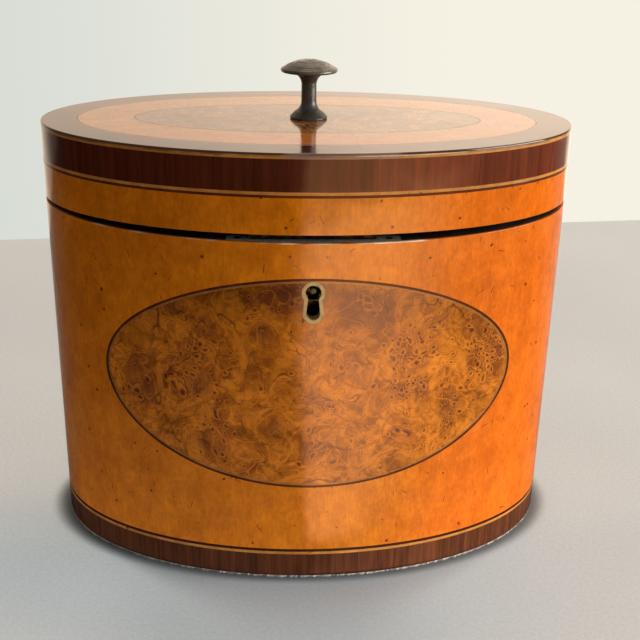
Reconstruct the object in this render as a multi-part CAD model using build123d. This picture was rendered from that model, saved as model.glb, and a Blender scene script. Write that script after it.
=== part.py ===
from build123d import *
import os
from math import asin, cos, degrees, radians, sin, sqrt, tan

# An oval veneered tea caddy. Millimetres, X to the right, Y to the back, Z up, and the origin
# under the middle of its foot. The lid's pieces are drawn shut and then raised by lid_stand_angle.

# Outline seen from above, and the heights of the body and of the lid's side
half_width = 75.0
half_depth = 46.0
body_height = 101.75
lid_height = 20.94

# Timber, foil and cloth
veneer_thickness = 0.8
glue_line = 0.04
wall_thickness = 6.5
base_thickness = 6.0
rim_facing_thickness = 1.0
lid_board_thickness = 5.0
lid_veneer_thickness = 0.55
lid_lining_thickness = 0.3
foil_thickness = 0.3
baize_thickness = 0.6
baize_inset = 1.5
inlay_clearance = 0.03

# Bands and lines of inlay
box_line_width = 1.05
ebony_line_width = 0.72
oval_box_line_width = 0.55
top_line_width = 0.5
base_crossband_height = 7.4
lid_satinwood_height = 9.6
edge_string_height = 0.9
top_crossband_width = 9.2
burr_oval_half_width = 49.4
burr_oval_half_depth = 21.4
front_oval_half_width = 56.6
front_oval_half_height = 31.1
front_oval_drop = 40.45

# Ledge inside the body, and the loose inner lid that rests on it
ledge_drop = 15.75
ledge_thickness = 3.0
ledge_width = 2.2
inner_lid_clearance = 0.4
inner_lid_rest_gap = 0.05
inner_lid_board_thickness = 3.4
inner_lid_veneer_thickness = 0.6
inner_lid_foil_thickness = 0.25
inner_knob_radius = 3.6
inner_knob_neck_radius = 1.9
inner_knob_foot_radius = 3.2
inner_knob_foot_height = 1.0
inner_knob_neck_height = 2.2
inner_knob_spigot_radius = 1.5
inner_knob_spigot_length = 3.0

# Knob of the lid, with its threaded shank, washer and nut
knob_foot_radius = 5.28
knob_foot_height = 1.3
knob_stem_radius = 2.15
knob_stem_foot = 5.0
knob_stem_head = 9.6
knob_foot_flare_radius = 3.4
knob_foot_flare_turn = 75.0
knob_head_flare_radius = 3.0
knob_head_flare_turn = 80.0
knob_cap_radius = 8.04
knob_lip_height = 0.8
knob_lip_rise = 0.6
knob_dome_rise = 2.55
knob_shank_radius = 1.6
knob_shank_end = 0.6
washer_radius = 4.5
washer_thickness = 0.8
nut_flat_radius = 2.75
nut_thickness = 2.2

# Stop hinge at the middle of the back, and its screws
hinge_length = 35.0
hinge_axis_inset = 2.0
hinge_leaf_thickness = 1.5
hinge_leaf_reach = 4.6
hinge_leaf_gap = 0.1
hinge_saddle_reach = 2.6
hinge_saddle_depth = 4.0
hinge_heel_reach = 2.31
hinge_stop_angle = 50.0
hinge_knuckle_radius = 2.2
hinge_knuckle_count = 5
hinge_knuckle_gap = 0.15
hinge_pin_radius = 0.9
hinge_pin_clearance = 0.05
hinge_let_in = 0.05
wood_relief_angle = 52.0
hinge_screw_pitch = 12.0
hinge_screw_count = 3
hinge_screw_inset = 3.45
hinge_screw_length = 6.0
screw_head_radius = 0.95
screw_shank_radius = 0.6
screw_slot_width = 0.35
screw_slot_depth = 0.3

# Escutcheon round the keyhole
keyhole_eye_drop = 13.4
keyhole_length = 5.75
escutcheon_eye_radius = 3.05
escutcheon_waist_half_width = 2.35
escutcheon_foot_radius = 2.75
escutcheon_wall = 0.95
escutcheon_depth = 1.6

# Lock in the front wall, opened and shut by a bolt that slides along X
lock_face_inset = 7.1
lock_case_half_width = 16.0
lock_case_height = 20.0
lock_case_depth = 3.4
lock_sheet_thickness = 0.6
selvedge_overhang = 6.5
selvedge_front_margin = 0.3
selvedge_thickness = 1.4
selvedge_screw_margin = 3.0
selvedge_screw_length = 5.0
bolt_travel = 3.2
bolt_thickness = 1.6
bolt_bar_height = 4.2
bolt_end_clearance = 0.8
bolt_shoulder = 0.5
bolt_post_width = 2.0
bolt_nib_height = 1.8
bolt_clearance = 0.4
bolt_slot_clearance = 0.15
talon_radius = 1.3
talon_offset = 1.6
stud_radius = 0.8
stud_offset = 7.0
drill_pin_radius = 0.8
drill_pin_setback = 1.5
ward_half_length = 2.0
ward_thickness = 0.4
ward_drop = 3.35
spring_thickness = 0.4
spring_reach = 7.5

# Link plate under the lid's rim, whose two hooked tongues drop into the lock
link_plate_thickness = 1.95
link_plate_clearance = 0.125
link_plate_width = 3.2
link_screw_margin = 3.5
link_screw_length = 6.0
tongue_width = 5.0
tongue_thickness = 1.4
tongue_length = 5.6
tongue_tip_height = 1.3
tongue_notch_depth = 3.0
tongue_notch_height = 2.3
tongue_clearance = 0.55

# Places that follow from the sizes above
wall_inset = veneer_thickness + glue_line
cavity_inset = wall_inset + wall_thickness
foil_inset = cavity_inset + glue_line
floor_height = baize_thickness + base_thickness
rim_seat_height = body_height - rim_facing_thickness
base_string_height = baize_thickness + base_crossband_height
base_ebony_height = base_string_height + box_line_width
body_veneer_foot = base_ebony_height + ebony_line_width
front_oval_height = body_height - front_oval_drop
keyhole_eye_height = body_height - keyhole_eye_drop
ledge_top_height = body_height - ledge_drop
ledge_foot_height = ledge_top_height - ledge_thickness
hinge_y = half_depth - hinge_axis_inset
lid_ceiling_height = body_height + lid_height - lid_veneer_thickness - lid_board_thickness
lid_board_top = lid_ceiling_height + lid_board_thickness
lid_top_height = body_height + lid_height
lid_ebony_height = body_height + lid_satinwood_height
lid_box_height = lid_ebony_height + ebony_line_width
lid_crossband_foot = lid_box_height + box_line_width
edge_string_foot = lid_board_top - edge_string_height
lock_back_y = lock_face_inset - half_depth
lock_front_y = lock_back_y - lock_case_depth - lock_sheet_thickness
lock_y = lock_back_y - (lock_case_depth + lock_sheet_thickness) / 2
selvedge_foot_height = body_height - selvedge_thickness
lock_floor_height = selvedge_foot_height - lock_case_height
lock_half_width_inside = lock_case_half_width - lock_sheet_thickness
selvedge_half_length = lock_case_half_width + selvedge_overhang
selvedge_screw_offset = selvedge_half_length - selvedge_screw_margin
bolt_bar_left = lock_half_width_inside - bolt_end_clearance
bolt_bar_right = bolt_bar_left - bolt_travel
bolt_hook_length = bolt_post_width + bolt_travel + bolt_clearance
tongue_offset = bolt_bar_left - bolt_shoulder - bolt_hook_length - tongue_width / 2
link_plate_half_length = lock_case_half_width
link_screw_offset = link_plate_half_length - link_screw_margin
link_plate_rise = link_plate_thickness + link_plate_clearance
lid_stand_angle = degrees(asin(link_plate_rise / (hinge_y - lock_y)))
hinge_line = Axis((0, hinge_y, body_height), (-1, 0, 0))
far = 4 * half_width


def oval(inset, foot, head):
    """A solid oval, drawn in from the caddy's outline by the inset."""
    face = Ellipse(half_width - inset, half_depth - inset)
    return Pos(0, 0, foot) * extrude(face, amount=head - foot)


def oval_ring(outer_inset, inner_inset, foot, head):
    """A ring between two ovals that are drawn in from the caddy's outline."""
    return oval(outer_inset, foot, head) - oval(inner_inset, foot, head)


def block(x_span, y_span, z_span):
    """A box given by its lowest and highest place along each axis."""
    size = [high - low for low, high in (x_span, y_span, z_span)]
    middle = [(high + low) / 2 for low, high in (x_span, y_span, z_span)]
    return Pos(*middle) * Box(*size)


def plate_in_yz(points, half_length):
    """A plate along X whose outline is given by points of Y and Z."""
    return extrude(Plane.YZ * Polygon(*points, align=None), amount=half_length, both=True)


def plate_in_xz(outline, y_front, y_back):
    """A plate that stands in X and Z, from its front face to its back face."""
    face = Plane((0, y_back, 0), x_dir=(1, 0, 0), z_dir=(0, -1, 0)) * outline
    return extrude(face, amount=y_back - y_front, dir=(0, -1, 0))


def turned(outline):
    """A turned solid, from an outline of radius and height."""
    return revolve(Plane.XZ * outline, axis=Axis.Z)


def raised(piece):
    """A piece of the lid, swung from shut to where the link plate holds it."""
    return piece.rotate(hinge_line, lid_stand_angle)


def screw(length):
    """A countersunk wood screw that points down, with its head's face at the origin."""
    outline = [
        (0, 0),
        (screw_head_radius, 0),
        (screw_shank_radius, screw_shank_radius - screw_head_radius),
        (screw_shank_radius, -length + screw_shank_radius),
        (0, -length),
    ]
    slot = Box(3 * screw_head_radius, screw_slot_width, 2 * screw_slot_depth)
    return turned(Polygon(*outline, align=None)) - slot


def screw_hole(length):
    """The hole of a screw, wider by the inlay clearance and open above the head."""
    grown_head = screw_head_radius + inlay_clearance
    grown_shank = screw_shank_radius + inlay_clearance
    outline = [
        (0, glue_line),
        (grown_head, glue_line),
        (grown_head, 0),
        (grown_shank, grown_shank - grown_head),
        (grown_shank, -length - inlay_clearance),
        (0, -length - inlay_clearance),
    ]
    return turned(Polygon(*outline, align=None))


def front_oval(inset):
    """A solid that runs through the front only, inside the oval of its panel."""
    outline = Pos(0, front_oval_height) * Ellipse(
        front_oval_half_width - inset, front_oval_half_height - inset
    )
    return plate_in_xz(outline, -far, 0)


def keyhole(inset):
    """A solid along Y with the escutcheon's outline, drawn in by the inset."""
    eye_radius = escutcheon_eye_radius - inset
    foot_radius = escutcheon_foot_radius - inset
    waist = escutcheon_waist_half_width - inset
    foot_height = keyhole_eye_height - keyhole_length
    waist_height = keyhole_eye_height - sqrt(eye_radius**2 - waist**2)
    eye = ThreePointArc(
        (waist, waist_height), (0, keyhole_eye_height + eye_radius), (-waist, waist_height)
    )
    foot = ThreePointArc(
        (-foot_radius, foot_height), (0, foot_height - foot_radius), (foot_radius, foot_height)
    )
    outline = make_face(Wire([eye, Line(eye @ 1, foot @ 0), foot, Line(foot @ 1, eye @ 0)]))
    return plate_in_xz(outline, -far, 0)


def selvedge_outline(clearance):
    """The lock's top plate as a tall solid: its front follows the rim, its back is straight."""
    half_length = selvedge_half_length + clearance
    front = oval(wall_inset + selvedge_front_margin - clearance, 0, far)
    strip = block((-half_length, half_length), (-far, lock_back_y + clearance), (0, far))
    return front & strip


def hinge_sections():
    """The stretches of the hinge's knuckles along X, from left to right."""
    pitch = hinge_length / hinge_knuckle_count
    starts = [index * pitch - hinge_length / 2 for index in range(hinge_knuckle_count)]
    half_gap = hinge_knuckle_gap / 2
    return [(start + half_gap, start + pitch - half_gap) for start in starts]


def hinge_rod(radius, x_span):
    """A round rod on the hinge's axis, which is the origin here."""
    length = x_span[1] - x_span[0]
    return Pos(sum(x_span) / 2, 0, 0) * Rot(0, 90, 0) * Cylinder(radius, length)


def lower_leaf(own_sections):
    """A leaf below the hinge's axis: a plate, a saddle under the knuckles and a bevelled heel."""
    heel_top = -hinge_heel_reach * tan(radians(hinge_stop_angle))
    outline = [
        (-hinge_leaf_reach, -hinge_leaf_gap),
        (0, -hinge_leaf_gap),
        (0, 0),
        (hinge_heel_reach, heel_top),
        (hinge_heel_reach, -hinge_saddle_depth),
        (-hinge_saddle_reach, -hinge_saddle_depth),
        (-hinge_saddle_reach, -hinge_leaf_thickness),
        (-hinge_leaf_reach, -hinge_leaf_thickness),
    ]
    half_length = hinge_length / 2
    whole_length = (-half_length, half_length)
    swept_radius = hinge_knuckle_radius + hinge_knuckle_gap
    whole = plate_in_yz(outline, half_length)
    leaf = whole - hinge_rod(swept_radius, whole_length)
    for section in own_sections:
        leaf += whole & block(section, (-far, far), (-far, far))
        leaf += hinge_rod(hinge_knuckle_radius, section)
    return leaf - hinge_rod(hinge_pin_radius + hinge_pin_clearance, whole_length)


def lower_leaf_pocket():
    """The wood that is cut away for a lower leaf, with the relief behind the hinge's axis."""
    plate_foot = -hinge_leaf_thickness - hinge_let_in
    saddle_foot = -hinge_saddle_depth - hinge_let_in
    saddle_front = -hinge_saddle_reach - hinge_let_in
    plate_front = -hinge_leaf_reach - hinge_let_in
    outline = [
        (plate_front, hinge_let_in),
        (plate_front, plate_foot),
        (saddle_front, plate_foot),
        (saddle_front, saddle_foot),
        (half_depth, saddle_foot),
        (half_depth, hinge_let_in),
    ]
    relief_drop = half_depth * tan(radians(wood_relief_angle))
    relief = [(0, hinge_let_in), (0, 0), (half_depth, -relief_drop), (half_depth, hinge_let_in)]
    pocket = plate_in_yz(outline, hinge_length / 2 + hinge_let_in)
    return pocket + plate_in_yz(relief, half_width)


def at_hinge(piece):
    """A piece drawn about the hinge's axis, put where the axis lies."""
    return Pos(0, hinge_y, body_height) * piece


def upside_down(piece):
    """A lower leaf's shape turned into an upper one."""
    return piece.mirror(Plane.XY)


def hinge_screw_places():
    """The places of a leaf's screws, from the hinge's axis."""
    middle = (hinge_screw_count - 1) / 2
    offsets = [(index - middle) * hinge_screw_pitch for index in range(hinge_screw_count)]
    return [Pos(x, -hinge_screw_inset, -hinge_leaf_gap) for x in offsets]


def each_at(places, piece):
    """Copies of a piece at each of the places, as separate solids."""
    return Compound([place * piece for place in places])


def cut_each(solid, places, piece):
    """The solid with the piece cut away at each of the places."""
    for place in places:
        solid -= place * piece
    return solid


def make_hinge():
    """The leaves, the pin and the screws, with the pockets and screw holes for the wood."""
    sections = hinge_sections()
    places = hinge_screw_places()
    hole = screw_hole(hinge_screw_length)
    screws = each_at(places, screw(hinge_screw_length))
    body_leaf = cut_each(lower_leaf(sections[0::2]), places, hole)
    lid_leaf = upside_down(cut_each(lower_leaf(sections[1::2]), places, hole))
    pin_span = (-hinge_length / 2, hinge_length / 2)
    pieces = {
        "hinge_leaf_body": at_hinge(body_leaf),
        "hinge_screws_body": at_hinge(screws),
        "hinge_pin": at_hinge(hinge_rod(hinge_pin_radius, pin_span)),
        "hinge_leaf_lid": raised(at_hinge(lid_leaf)),
        "hinge_screws_lid": raised(at_hinge(upside_down(screws))),
    }
    pocket = lower_leaf_pocket()
    for place in places:
        pocket += place * hole
    return pieces, at_hinge(pocket), at_hinge(upside_down(pocket))


def make_carcase(hinge_pocket, lock_recess):
    """The body's wall, base, rim facing, ledge and foil."""
    wall = oval_ring(wall_inset, cavity_inset, floor_height, rim_seat_height)
    rim = oval_ring(wall_inset, cavity_inset, rim_seat_height, body_height)
    keyhole_bore = keyhole(escutcheon_wall) & oval(0, 0, body_height)
    escutcheon_seat = keyhole(-inlay_clearance) - oval(escutcheon_depth + glue_line, 0, body_height)
    wall = wall - hinge_pocket - lock_recess - keyhole_bore - escutcheon_seat
    foil_wall_foot = floor_height + foil_thickness
    return {
        "carcase_wall": wall,
        "base_board": oval(wall_inset, baize_thickness, floor_height),
        "base_baize": oval(baize_inset, 0, baize_thickness),
        "rim_facing": rim - hinge_pocket - lock_recess,
        "inner_ledge": oval_ring(
            foil_inset, foil_inset + ledge_width, ledge_foot_height, ledge_top_height
        ),
        "foil_lining_floor": oval(foil_inset, floor_height, foil_wall_foot),
        "foil_lining_wall": oval_ring(
            foil_inset, foil_inset + foil_thickness, foil_wall_foot, ledge_foot_height
        ),
    }


def make_body_veneers(hinge_pocket):
    """The bands wrapped round the body, with the oval panel and its lines let into the front."""
    def band(foot, head):
        return oval_ring(0, veneer_thickness, foot, head)

    field = band(body_veneer_foot, body_height)
    shell = band(0, body_height)
    box_inset = ebony_line_width
    panel_inset = box_inset + oval_box_line_width
    seat = keyhole(-inlay_clearance)
    return {
        "base_crossband": band(baize_thickness, base_string_height),
        "base_string_box": band(base_string_height, base_ebony_height),
        "base_string_ebony": band(base_ebony_height, body_veneer_foot),
        "body_veneer": field - front_oval(0) - hinge_pocket,
        "oval_string_ebony": shell & (front_oval(glue_line) - front_oval(box_inset)),
        "oval_string_box": (shell & (front_oval(box_inset + glue_line) - front_oval(panel_inset)))
        - seat,
        "oval_panel": (shell & front_oval(panel_inset + glue_line)) - seat,
        "escutcheon": (keyhole(0) - keyhole(escutcheon_wall))
        & oval_ring(0, escutcheon_depth, 0, body_height),
    }


def make_lock():
    """The lock's fixed pieces, its bolt and spring, and the recess for the wood."""
    plate_front = lock_back_y - lock_sheet_thickness
    cap_back = lock_front_y + lock_sheet_thickness
    inner_floor = lock_floor_height + lock_sheet_thickness
    case_span = (-lock_case_half_width, lock_case_half_width)
    bolt_span = (lock_y - bolt_thickness / 2, lock_y + bolt_thickness / 2)
    bar_foot = keyhole_eye_height + drill_pin_radius + bolt_clearance
    bar_head = bar_foot + bolt_bar_height
    stud_height = (bar_foot + bar_head) / 2
    tip_height = body_height + link_plate_clearance - tongue_length
    nib_foot = tip_height + tongue_tip_height + (tongue_notch_height - bolt_nib_height) / 2
    nib_head = nib_foot + bolt_nib_height
    tongue_slot_half_length = tongue_width / 2 + tongue_clearance
    tongue_slot_half_width = tongue_thickness / 2 + tongue_clearance

    case = block(case_span, (cap_back, lock_back_y), (lock_floor_height, selvedge_foot_height))
    case -= block(
        (-lock_half_width_inside, lock_half_width_inside),
        (cap_back, plate_front),
        (inner_floor, far),
    )
    slot_radius = stud_radius + bolt_slot_clearance
    bolt = block((-bolt_bar_left, bolt_bar_right), bolt_span, (bar_foot, bar_head))
    for stud_x in (-stud_offset, stud_offset):
        case += Pos(stud_x, (cap_back + plate_front) / 2, stud_height) * Rot(90, 0, 0) * Cylinder(
            stud_radius, plate_front - cap_back
        )
        bolt -= block(
            (stud_x - bolt_travel, stud_x),
            bolt_span,
            (stud_height - slot_radius, stud_height + slot_radius),
        )
        for end_x in (stud_x - bolt_travel, stud_x):
            bolt -= Pos(end_x, lock_y, stud_height) * Rot(90, 0, 0) * Cylinder(
                slot_radius, bolt_thickness
            )
    bolt -= Pos(talon_offset, lock_y, bar_foot) * Rot(90, 0, 0) * Cylinder(
        talon_radius, bolt_thickness
    )
    ward_height = keyhole_eye_height - ward_drop
    case += block(
        (-ward_half_length, ward_half_length),
        (cap_back, plate_front),
        (ward_height - ward_thickness / 2, ward_height + ward_thickness / 2),
    )
    selvedge = selvedge_outline(0) & block(
        (-far, far), (-far, far), (selvedge_foot_height, body_height)
    )
    for tongue_x in (-tongue_offset, tongue_offset):
        nib_end = tongue_x - tongue_width / 2 - bolt_clearance
        nib_start = nib_end - bolt_travel
        post_start = nib_start - bolt_post_width
        bolt += block((post_start, nib_start), bolt_span, (bar_head, nib_head))
        bolt += block((nib_start, nib_end), bolt_span, (nib_foot, nib_head))
        selvedge -= block(
            (tongue_x - tongue_slot_half_length, tongue_x + tongue_slot_half_length),
            (lock_y - tongue_slot_half_width, lock_y + tongue_slot_half_width),
            (selvedge_foot_height, body_height),
        )
    screw_places = [Pos(x, lock_y, body_height) for x in (-selvedge_screw_offset, selvedge_screw_offset)]
    selvedge_screw_hole = screw_hole(selvedge_screw_length)
    pin_front = drill_pin_setback - half_depth
    pin_length = plate_front - pin_front
    drill_pin = Pos(0, (pin_front + plate_front) / 2, keyhole_eye_height) * Rot(90, 0, 0) * Cylinder(
        drill_pin_radius, pin_length
    )
    cap = block(case_span, (lock_front_y, cap_back), (lock_floor_height, selvedge_foot_height))
    pieces = {
        "lock_case": case,
        "lock_cap": cap - keyhole(escutcheon_wall),
        "lock_selvedge": cut_each(selvedge, screw_places, selvedge_screw_hole),
        "lock_drill_pin": drill_pin,
        "lock_screws": each_at(screw_places, screw(selvedge_screw_length)),
        "lock_bolt": bolt,
        "lock_spring": bolt_spring(bar_foot, inner_floor, bolt_span),
    }
    recess = block(
        (-lock_case_half_width - inlay_clearance, lock_case_half_width + inlay_clearance),
        (lock_front_y - inlay_clearance, 0),
        (lock_floor_height - inlay_clearance, far),
    )
    recess += selvedge_outline(inlay_clearance) & block(
        (-far, far), (-far, far), (selvedge_foot_height, far)
    )
    for place in screw_places:
        recess += place * selvedge_screw_hole
    return pieces, recess


def bolt_spring(head_height, floor, y_span):
    """A bent leaf spring between the bolt's bar and the floor of the lock."""
    middle = (head_height + floor) / 2
    outer = [
        (-bolt_bar_left, head_height),
        (spring_reach - bolt_bar_left, middle),
        (-bolt_bar_left, floor + bolt_slot_clearance),
    ]
    steep = sqrt(1 + (spring_reach / (head_height - middle)) ** 2)
    lean = spring_thickness * steep
    inner = [
        (-bolt_bar_left, outer[2][1] + lean * (head_height - middle) / spring_reach),
        (spring_reach - bolt_bar_left - lean, middle),
        (-bolt_bar_left, head_height - lean * (head_height - middle) / spring_reach),
    ]
    return plate_in_xz(Polygon(*outer, *inner, align=None), *y_span)


def make_link_plate():
    """The plate with two hooked tongues under the lid's rim, and its screws."""
    foot = body_height - link_plate_thickness
    plate = block(
        (-link_plate_half_length, link_plate_half_length),
        (lock_y - link_plate_width / 2, lock_y + link_plate_width / 2),
        (foot, body_height),
    )
    tongue_span = (lock_y - tongue_thickness / 2, lock_y + tongue_thickness / 2)
    tip = foot - tongue_length
    notch_foot = tip + tongue_tip_height
    for tongue_x in (-tongue_offset, tongue_offset):
        left = tongue_x - tongue_width / 2
        plate += block((left, left + tongue_width), tongue_span, (tip, foot))
        plate -= block(
            (left, left + tongue_notch_depth),
            tongue_span,
            (notch_foot, notch_foot + tongue_notch_height),
        )
    offsets = (-link_screw_offset, link_screw_offset)
    places = [Pos(x, lock_y, foot) * Rot(180, 0, 0) for x in offsets]
    hole = screw_hole(link_screw_length)
    pieces = {
        "link_plate": raised(cut_each(plate, places, hole)),
        "link_plate_screws": raised(each_at(places, screw(link_screw_length))),
    }
    return pieces, places, hole


def make_lid(hinge_pocket, link_screw_places, link_screw_hole):
    """The lid's carcase and the veneers on its side and top."""
    def band(foot, head):
        return oval_ring(0, veneer_thickness, foot, head)

    def top_ring(outer_inset, inner_inset):
        return oval_ring(outer_inset, inner_inset, lid_board_top, lid_top_height)

    def burr_oval(inset):
        face = Ellipse(burr_oval_half_width - inset, burr_oval_half_depth - inset)
        return Pos(0, 0, lid_board_top) * extrude(face, amount=lid_veneer_thickness)

    rim_top = body_height + rim_facing_thickness
    shank_hole = Pos(0, 0, lid_ceiling_height) * Cylinder(
        knob_shank_radius + inlay_clearance, lid_height, align=(Align.CENTER, Align.CENTER, Align.MIN)
    )
    lining_hole = Pos(0, 0, body_height) * Cylinder(
        washer_radius + inlay_clearance, lid_height, align=(Align.CENTER, Align.CENTER, Align.MIN)
    )
    wall = oval_ring(wall_inset, cavity_inset, rim_top, lid_ceiling_height) - hinge_pocket
    rim = oval_ring(wall_inset, cavity_inset, body_height, rim_top) - hinge_pocket
    lining_foot = lid_ceiling_height - lid_lining_thickness
    outer_ebony_inset = top_crossband_width + top_line_width
    outer_field_inset = outer_ebony_inset + top_line_width
    inner_box_inset = top_line_width
    inner_field_inset = inner_box_inset + top_line_width
    shut = {
        "lid_wall": cut_each(wall, link_screw_places, link_screw_hole),
        "lid_rim_facing": cut_each(rim, link_screw_places, link_screw_hole),
        "lid_top_board": oval(wall_inset, lid_ceiling_height, lid_board_top) - shank_hole,
        "lid_lining": oval(foil_inset, lining_foot, lid_ceiling_height) - lining_hole,
        "lid_side_veneer": band(body_height, lid_ebony_height) - hinge_pocket,
        "lid_side_string_ebony": band(lid_ebony_height, lid_box_height),
        "lid_side_string_box": band(lid_box_height, lid_crossband_foot),
        "lid_side_crossband": band(lid_crossband_foot, edge_string_foot),
        "lid_edge_string": band(edge_string_foot, lid_board_top),
        "lid_top_crossband": top_ring(0, top_crossband_width),
        "lid_top_string_box": top_ring(top_crossband_width + glue_line, outer_ebony_inset),
        "lid_top_string_ebony": top_ring(outer_ebony_inset + glue_line, outer_field_inset),
        "lid_top_satinwood": oval(outer_field_inset + glue_line, lid_board_top, lid_top_height)
        - burr_oval(-glue_line),
        "lid_burr_string_ebony": burr_oval(0) - burr_oval(inner_box_inset),
        "lid_burr_string_box": burr_oval(inner_box_inset + glue_line)
        - burr_oval(inner_field_inset),
        "lid_burr_oval": burr_oval(inner_field_inset + glue_line) - shank_hole,
    }
    return {name: raised(piece) for name, piece in shut.items()}


def knob_outline():
    """Half of the knob's section, as radius and height above the lid."""
    foot_centre = (knob_stem_radius + knob_foot_flare_radius, knob_stem_foot)
    head_centre = (knob_stem_radius + knob_head_flare_radius, knob_stem_head)
    foot_flare = CenterArc(foot_centre, knob_foot_flare_radius, 180, knob_foot_flare_turn)
    head_flare = CenterArc(head_centre, knob_head_flare_radius, 180, -knob_head_flare_turn)
    lip_foot = (head_flare @ 1).Y + knob_lip_rise
    lip_head = lip_foot + knob_lip_height
    lip_edge = knob_cap_radius - knob_lip_height / 2
    dome_radius = (lip_edge**2 + knob_dome_rise**2) / (2 * knob_dome_rise)
    apex = lip_head + knob_dome_rise
    half_turn = asin(lip_edge / dome_radius) / 2
    dome_middle = (
        dome_radius * sin(half_turn),
        apex - dome_radius * (1 - cos(half_turn)),
    )
    edges = [
        Polyline((0, 0), (knob_foot_radius, 0), (knob_foot_radius, knob_foot_height), foot_flare @ 1),
        foot_flare,
        Line(foot_flare @ 0, head_flare @ 0),
        head_flare,
        Line(head_flare @ 1, (lip_edge, lip_foot)),
        ThreePointArc(
            (lip_edge, lip_foot), (knob_cap_radius, (lip_foot + lip_head) / 2), (lip_edge, lip_head)
        ),
        ThreePointArc((lip_edge, lip_head), dome_middle, (0, apex)),
        Line((0, apex), (0, 0)),
    ]
    return make_face(Curve() + edges)


def make_knob():
    """The knob with its shank, and the washer and nut that hold it inside the lid."""
    washer_foot = lid_ceiling_height - washer_thickness
    nut_foot = washer_foot - nut_thickness
    shank_foot = nut_foot - knob_shank_end
    low = (Align.CENTER, Align.CENTER, Align.MIN)
    shank = Pos(0, 0, shank_foot) * Cylinder(
        knob_shank_radius, lid_top_height - shank_foot, align=low
    )
    bore = Pos(0, 0, shank_foot) * Cylinder(
        knob_shank_radius + inlay_clearance, lid_height, align=low
    )
    knob = Pos(0, 0, lid_top_height) * turned(knob_outline()) + shank
    washer = Pos(0, 0, washer_foot) * Cylinder(washer_radius, washer_thickness, align=low)
    nut_corner_radius = nut_flat_radius / cos(radians(30))
    nut = Pos(0, 0, nut_foot) * extrude(RegularPolygon(nut_corner_radius, 6), amount=nut_thickness)
    return {
        "lid_knob": raised(knob),
        "knob_washer": raised(washer - bore),
        "knob_nut": raised(nut - bore),
    }


def inner_knob_outline():
    """Half of the inner lid's knob, from the foot of its spigot to its crown."""
    neck_head = inner_knob_foot_height + inner_knob_neck_height
    ball_height = neck_head + sqrt(inner_knob_radius**2 - inner_knob_neck_radius**2)
    crown = ball_height + inner_knob_radius
    edges = [
        Polyline(
            (0, -inner_knob_spigot_length),
            (inner_knob_spigot_radius, -inner_knob_spigot_length),
            (inner_knob_spigot_radius, 0),
            (inner_knob_foot_radius, 0),
            (inner_knob_foot_radius, inner_knob_foot_height),
            (inner_knob_neck_radius, inner_knob_foot_height),
            (inner_knob_neck_radius, neck_head),
        ),
        ThreePointArc((inner_knob_neck_radius, neck_head), (inner_knob_radius, ball_height), (0, crown)),
        Line((0, crown), (0, -inner_knob_spigot_length)),
    ]
    return make_face(Curve() + edges)


def make_inner_lid():
    """The loose inner lid: foil below, a board, veneer above and a turned knob."""
    inset = cavity_inset + inner_lid_clearance
    foil_foot = ledge_top_height + inner_lid_rest_gap
    board_foot = foil_foot + inner_lid_foil_thickness
    veneer_foot = board_foot + inner_lid_board_thickness
    top = veneer_foot + inner_lid_veneer_thickness
    spigot_hole = Pos(0, 0, top - inner_knob_spigot_length - inlay_clearance) * Cylinder(
        inner_knob_spigot_radius + inlay_clearance,
        2 * inner_knob_spigot_length,
        align=(Align.CENTER, Align.CENTER, Align.MIN),
    )
    return {
        "inner_lid_foil": oval(inset, foil_foot, board_foot),
        "inner_lid_board": oval(inset, board_foot, veneer_foot) - spigot_hole,
        "inner_lid_veneer": oval(inset, veneer_foot, top) - spigot_hole,
        "inner_lid_knob": Pos(0, 0, top) * turned(inner_knob_outline()),
    }


def make_caddy():
    """Every piece by its name."""
    hinge, body_pocket, lid_pocket = make_hinge()
    lock, lock_recess = make_lock()
    link, link_screw_places, link_screw_hole = make_link_plate()
    return {
        **make_carcase(body_pocket, lock_recess),
        **make_body_veneers(body_pocket),
        **hinge,
        **lock,
        **link,
        **make_lid(lid_pocket, link_screw_places, link_screw_hole),
        **make_knob(),
        **make_inner_lid(),
    }


os.makedirs("parts", exist_ok=True)
for piece_name, piece in make_caddy().items():
    export_step(piece, f"parts/{piece_name}.step")
print("lid stands open", round(lid_stand_angle, 3), "degrees")
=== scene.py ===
from math import acos, asin, atan2, cos, degrees, pi, radians, sin, sqrt

import bpy
import numpy as np
from mathutils import Matrix, Vector


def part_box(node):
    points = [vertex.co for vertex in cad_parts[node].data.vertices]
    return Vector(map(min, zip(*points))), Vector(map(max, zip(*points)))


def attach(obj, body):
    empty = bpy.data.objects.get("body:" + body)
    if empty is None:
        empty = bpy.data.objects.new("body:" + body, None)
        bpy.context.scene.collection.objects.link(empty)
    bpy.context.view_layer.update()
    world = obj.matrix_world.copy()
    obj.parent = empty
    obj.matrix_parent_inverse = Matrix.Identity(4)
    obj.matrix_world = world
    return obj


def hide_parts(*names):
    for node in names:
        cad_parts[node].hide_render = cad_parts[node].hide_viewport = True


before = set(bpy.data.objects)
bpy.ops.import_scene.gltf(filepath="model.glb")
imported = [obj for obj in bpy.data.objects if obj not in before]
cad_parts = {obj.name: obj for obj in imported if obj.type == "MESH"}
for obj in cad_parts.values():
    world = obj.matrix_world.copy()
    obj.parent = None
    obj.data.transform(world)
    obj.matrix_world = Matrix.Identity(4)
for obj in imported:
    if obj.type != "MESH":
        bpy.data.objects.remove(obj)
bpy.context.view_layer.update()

bl_info = {
    "name": "Oval tea caddy",
    "version": (1, 0, 0),
    "blender": (4, 5, 0),
    "location": "3D View > Sidebar > Tea Caddy",
    "description": "Dresses an oval veneered tea caddy in its veneers, lines, brass and bronze",
    "category": "Object",
}

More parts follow.
